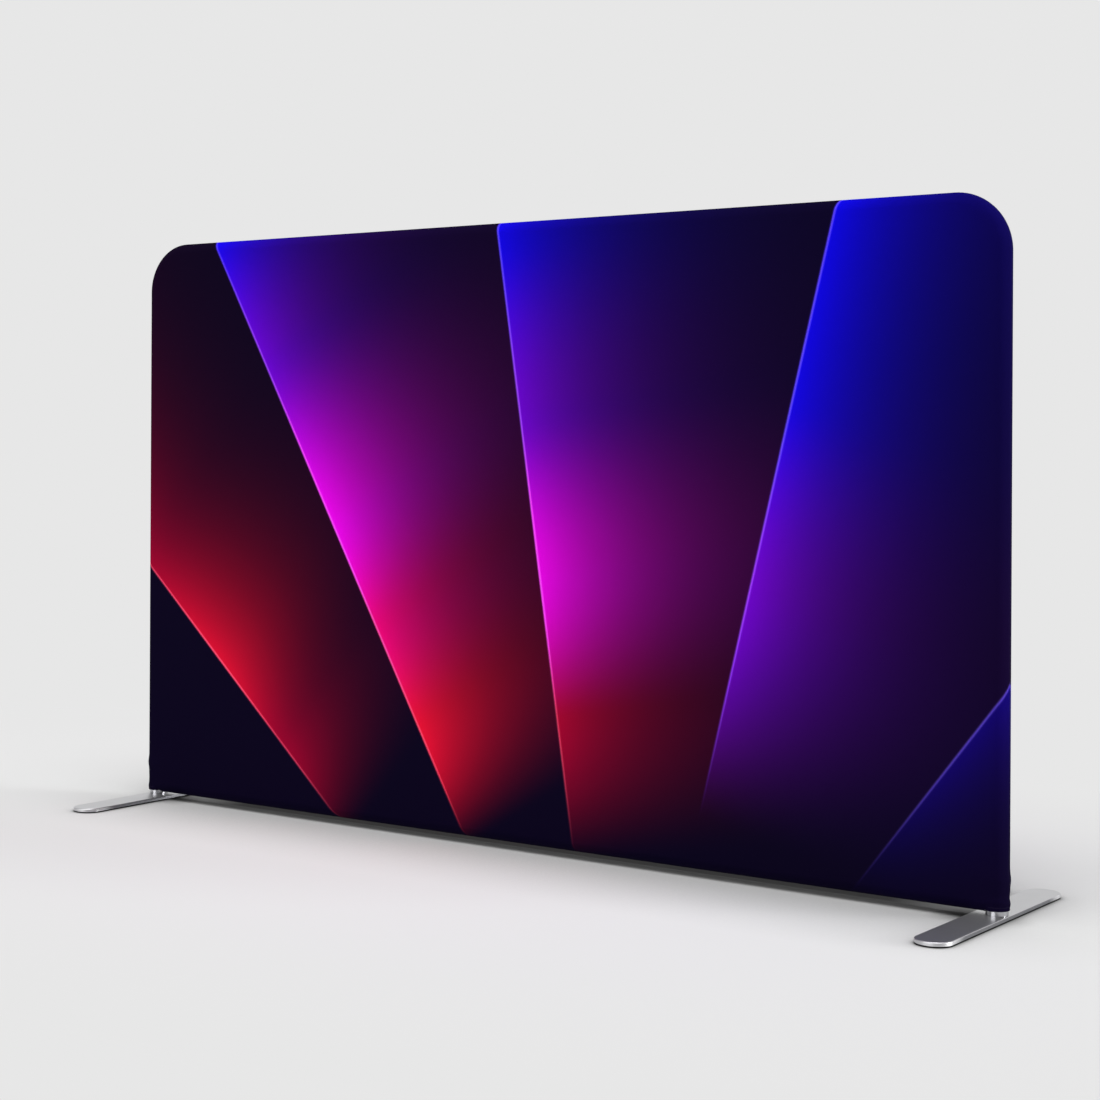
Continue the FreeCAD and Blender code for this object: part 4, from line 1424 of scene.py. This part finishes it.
@dataclass(frozen=True)
class Floor:
    """A matt floor without end, which takes the lamps' shadows and painted shade near the object and fades
    to a plain tone further off.

    Attributes:
        tone: Its colour.
        half: Half its width.
        below: How far it lies under the soles.
        fade: Distances from the middle at which it begins to turn plain and is plain.
        fade_share: Share of X in that distance, so that the fade follows the long panel.
        samples: Rays that test how closed in a place is.
        broad_reach: How far off things dim it.
        broad_least: Light that is left where it is wholly closed in.
        contact_reach: How far off a foot dims it.
        contact_power: How strongly a foot does.
        contact_zone: Distances in from the part's end at which that sets in and is full.
        core_least: Light that is left in the core of the panel's shadow.
        core_front: Y at which the core sets in and is full.
        core_back: Y at which it begins to lighten and is over.
        core_zone: Distances in from the part's end at which it begins to lighten and is over.
    """

    tone: str
    half: float = 80.0
    below: float = 0.2 * MM
    fade: tuple[float, float] = (0.7, 1.7)
    fade_share: float = 0.45
    samples: int = 8
    broad_reach: float = 0.4
    broad_least: float = 0.2
    contact_reach: float = 0.06
    contact_power: float = 1.2
    contact_zone: tuple[float, float] = (0.17, 0.1)
    core_least: float = 0.22
    core_front: tuple[float, float] = (-5 * MM, 40 * MM)
    core_back: tuple[float, float] = (70 * MM, 320 * MM)
    core_zone: tuple[float, float] = (0.35, 0.1)

    def shade(self, tree: NodeTree, place: NodeSocket) -> NodeSocket:
        """Paint shade into the floor where things stand near, beside the feet, and under and behind the
        panel.

        The open share of a wide half sphere is mapped to a factor, and that of a small one is raised to a
        power which grows towards the feet. A smooth dip across Y stands for the core of the panel's shadow
        and ends before the feet. The three factors are multiplied.

        Args:
            tree: The floor's node tree.
            place: The place on the floor.

        Returns:
            The share of the floor's colour that is left under the painted shade.
        """
        end = cad_high.x
        wide = {"Distance": self.broad_reach}
        open_share = add(tree, "AmbientOcclusion", wide, samples=self.samples).outputs["AO"]
        broad = add(tree, "MapRange", {0: open_share, 3: self.broad_least, 4: 1.0}).outputs[0]
        small = {"Distance": self.contact_reach}
        near_share = add(tree, "AmbientOcclusion", small, samples=self.samples).outputs["AO"]
        axes = add(tree, "SeparateXYZ", {0: place}).outputs
        out = add(tree, "Math", {0: axes["X"]}, operation="ABSOLUTE").outputs[0]
        sets_in, full = (end - inset for inset in self.contact_zone)
        feet = {0: out, 1: sets_in, 2: full, 3: 0.0, 4: self.contact_power}
        power = add(tree, "MapRange", feet).outputs[0]
        contact = add(tree, "Math", {0: near_share, 1: power}, operation="POWER").outputs[0]
        shade = add(tree, "Math", {0: broad, 1: contact}, operation="MULTIPLY").outputs[0]
        sets_in, full = self.core_front
        under = {0: axes["Y"], 1: sets_in, 2: full, 3: 1.0, 4: self.core_least}
        under = add(tree, "MapRange", under, interpolation_type="SMOOTHSTEP").outputs[0]
        lightens, over = self.core_back
        behind = {0: axes["Y"], 1: lightens, 2: over, 3: 0.0, 4: 1.0 - self.core_least}
        behind = add(tree, "MapRange", behind, interpolation_type="SMOOTHSTEP").outputs[0]
        core = add(tree, "Math", {0: under, 1: behind}, operation="ADD").outputs[0]
        lightens, over = (end - inset for inset in self.core_zone)
        beside = add(tree, "MapRange", {0: out, 1: lightens, 2: over, 3: 0.0, 4: 1.0}).outputs[0]
        core = add(tree, "Math", {0: core, 1: beside}, operation="MAXIMUM").outputs[0]
        return add(tree, "Math", {0: shade, 1: core}, operation="MULTIPLY").outputs[0]

    def build(self) -> None:
        """Lay the floor: matt with painted shade near the middle, and a plain tone further off.

        The distance from the middle, with X drawn in, mixes the two by a smooth step.
        """
        steps = np.array([-self.half, 0.0, self.half])
        piece = weld("floor", [bare(grid(steps[:, None], steps[None, :], -self.below))])
        # Matt paint: a pale grey that takes soft shadows, with painted shade multiplied into its colour
        # near the object.
        material = bpy.data.materials.new("matt_painted_floor")
        tree = empty_tree(material)
        place = add(tree, "TexCoord").outputs["Object"]
        drawn_in = add(tree, "Mapping", {"Vector": place, "Scale": (self.fade_share, 1.0, 1.0)})
        away = add(tree, "VectorMath", {0: drawn_in.outputs[0]}, operation="LENGTH")
        far = {0: away.outputs["Value"], 1: self.fade[0], 2: self.fade[1]}
        fade = add(tree, "MapRange", far, interpolation_type="SMOOTHSTEP")
        # Painted shade: the floor's colour multiplied by the shade factor.
        tone = {0: linear(self.tone)[:3], "Scale": self.shade(tree, place)}
        toned = add(tree, "VectorMath", tone, operation="SCALE")
        lit = add(tree, "BsdfDiffuse", {"Color": toned.outputs[0]})
        plain = add(tree, "Emission", {"Color": linear(self.tone), "Strength": 1.0})
        mixed = add(tree, "MixShader", {0: fade.outputs[0], 1: lit.outputs[0], 2: plain.outputs[0]})
        add(tree, "OutputMaterial", {"Surface": mixed.outputs[0]})
        piece.data.materials.append(material)


@dataclass
class Studio:
    """A pale floor without end, soft lamps and the camera.

    Attributes:
        pale: Colour of the floor and of what lies behind.
        place: The camera.
        yaw_deg: Its turn to the left of looking along Y.
        roll_deg: Its tilt about its own line of sight.
        focal_px: Its focal length in pixels of the square picture.
        picture_px: The picture's side.
        level_row: Row of the picture that lies level with the camera.
        sensor_mm: Width of the camera's sensor.
        sight: How far the camera sees.
        fill: Strength of the surround's light on the object.
        dim: How bright metal sees the surround's dim side.
        bright_way: Direction of its bright side, behind the object and to the left.
        bright_rise: Cosines of the angle to that direction at which it begins to brighten and is full.
        lamps: The lamps.
    """

    pale: str = "E7E7E7"
    place: tuple[float, float, float] = (3.037, -4.082, 0.9913)
    yaw_deg: float = 35.867
    roll_deg: float = 0.296
    focal_px: float = 2129.2
    picture_px: float = 1100.0
    level_row: float = 434.95
    sensor_mm: float = 36.0
    sight: float = 200.0
    fill: float = 0.09
    dim: float = 0.1
    bright_way: tuple[float, float, float] = (-0.5, 0.86, 0.0)
    bright_rise: tuple[float, float] = (-0.3, 0.6)
    lamps: tuple[Lamp, ...] = (
        Lamp("overhead", 2.6, 46.0, 36.0, 74.0),
        Lamp("key", 1.64, 42.0, -15.0, 6.0),
        Lamp("rim", 4.0, 20.0, 113.0, 2.0),
    )

    def camera(self) -> None:
        """A level camera, its picture shifted down as a view camera's is, so that the posts are upright."""
        data = bpy.data.cameras.new("camera")
        data.sensor_width = self.sensor_mm
        data.lens = self.sensor_mm * self.focal_px / self.picture_px
        data.shift_y = (self.level_row - self.picture_px / 2) / self.picture_px
        data.clip_end = self.sight
        piece = bpy.data.objects.new("camera", data)
        bpy.context.scene.collection.objects.link(piece)
        level = Matrix.Rotation(math.radians(self.yaw_deg), 4, "Z") @ Matrix.Rotation(QUARTER_TURN, 4, "X")
        tilt = Matrix.Rotation(math.radians(self.roll_deg), 4, "Z")
        piece.matrix_world = Matrix.Translation(Vector(self.place)) @ level @ tilt
        bpy.context.scene.camera = piece

    def surround(self) -> None:
        """The pale surround: plain to the eye, a faint fill on the object, and to metal bright on one side.

        What metal sees rises with the cosine of the angle to the bright side.
        """
        world = bpy.data.worlds.new("surround")
        bpy.context.scene.world = world
        tree = empty_tree(world)
        path = add(tree, "LightPath")
        way = add(tree, "TexCoord").outputs["Generated"]
        cosine = add(tree, "VectorMath", {0: way, 1: self.bright_way}, operation="DOT_PRODUCT")
        begins, full = self.bright_rise
        rise = {0: cosine.outputs["Value"], 1: begins, 2: full, 3: self.dim, 4: 1.0}
        mirrored = add(tree, "MapRange", rise)
        in_metal = {0: path.outputs["Is Glossy Ray"], 2: self.fill, 3: mirrored.outputs[0]}
        strength = add(tree, "Mix", in_metal)
        seen = {0: path.outputs["Is Camera Ray"], 1: path.outputs["Is Transmission Ray"]}
        straight = add(tree, "Math", seen, operation="MAXIMUM")
        strength = add(tree, "Mix", {0: straight.outputs[0], 2: strength.outputs[0], 3: 1.0})
        tone = add(tree, "Background", {"Color": linear(self.pale), "Strength": strength.outputs[0]})
        add(tree, "OutputWorld", {"Surface": tone.outputs[0]})

    def build(self) -> None:
        """Set up the floor, the light and the camera."""
        bpy.context.scene.view_settings.view_transform = "Standard"
        Floor(self.pale).build()
        self.surround()
        for lamp in self.lamps:
            lamp.build()
        self.camera()


def dress_solids(materials: dict[str, Material]) -> None:
    """Give every carried-over solid the finish of its material slot.

    Args:
        materials: Material slot to material.
    """
    for part in frame["record"]["subparts"]:
        solid = frame["nodes"][part["node"]]
        solid.data.materials.clear()
        solid.data.materials.append(materials[part["material_slot"]])
        log.info("solid %s takes %s", part["node"], part["material_slot"])


def main() -> None:
    """Build the studio and dress the object."""
    logging.basicConfig(level=logging.INFO, format="%(name)s: %(message)s")
    materials = {}
    for finish in FINISHES:
        materials.update(dict.fromkeys(finish.slots, finish.build()))
    dress_solids(materials)
    FabricCover().dress(materials["printed_fabric_front"], THREAD.build())
    ZipFastener().dress(materials["zip_coil"], materials["zip_tape"])
    SnapSprings().dress(materials["spring_steel"])
    Studio().build()


if __name__ == "__main__":
    main()
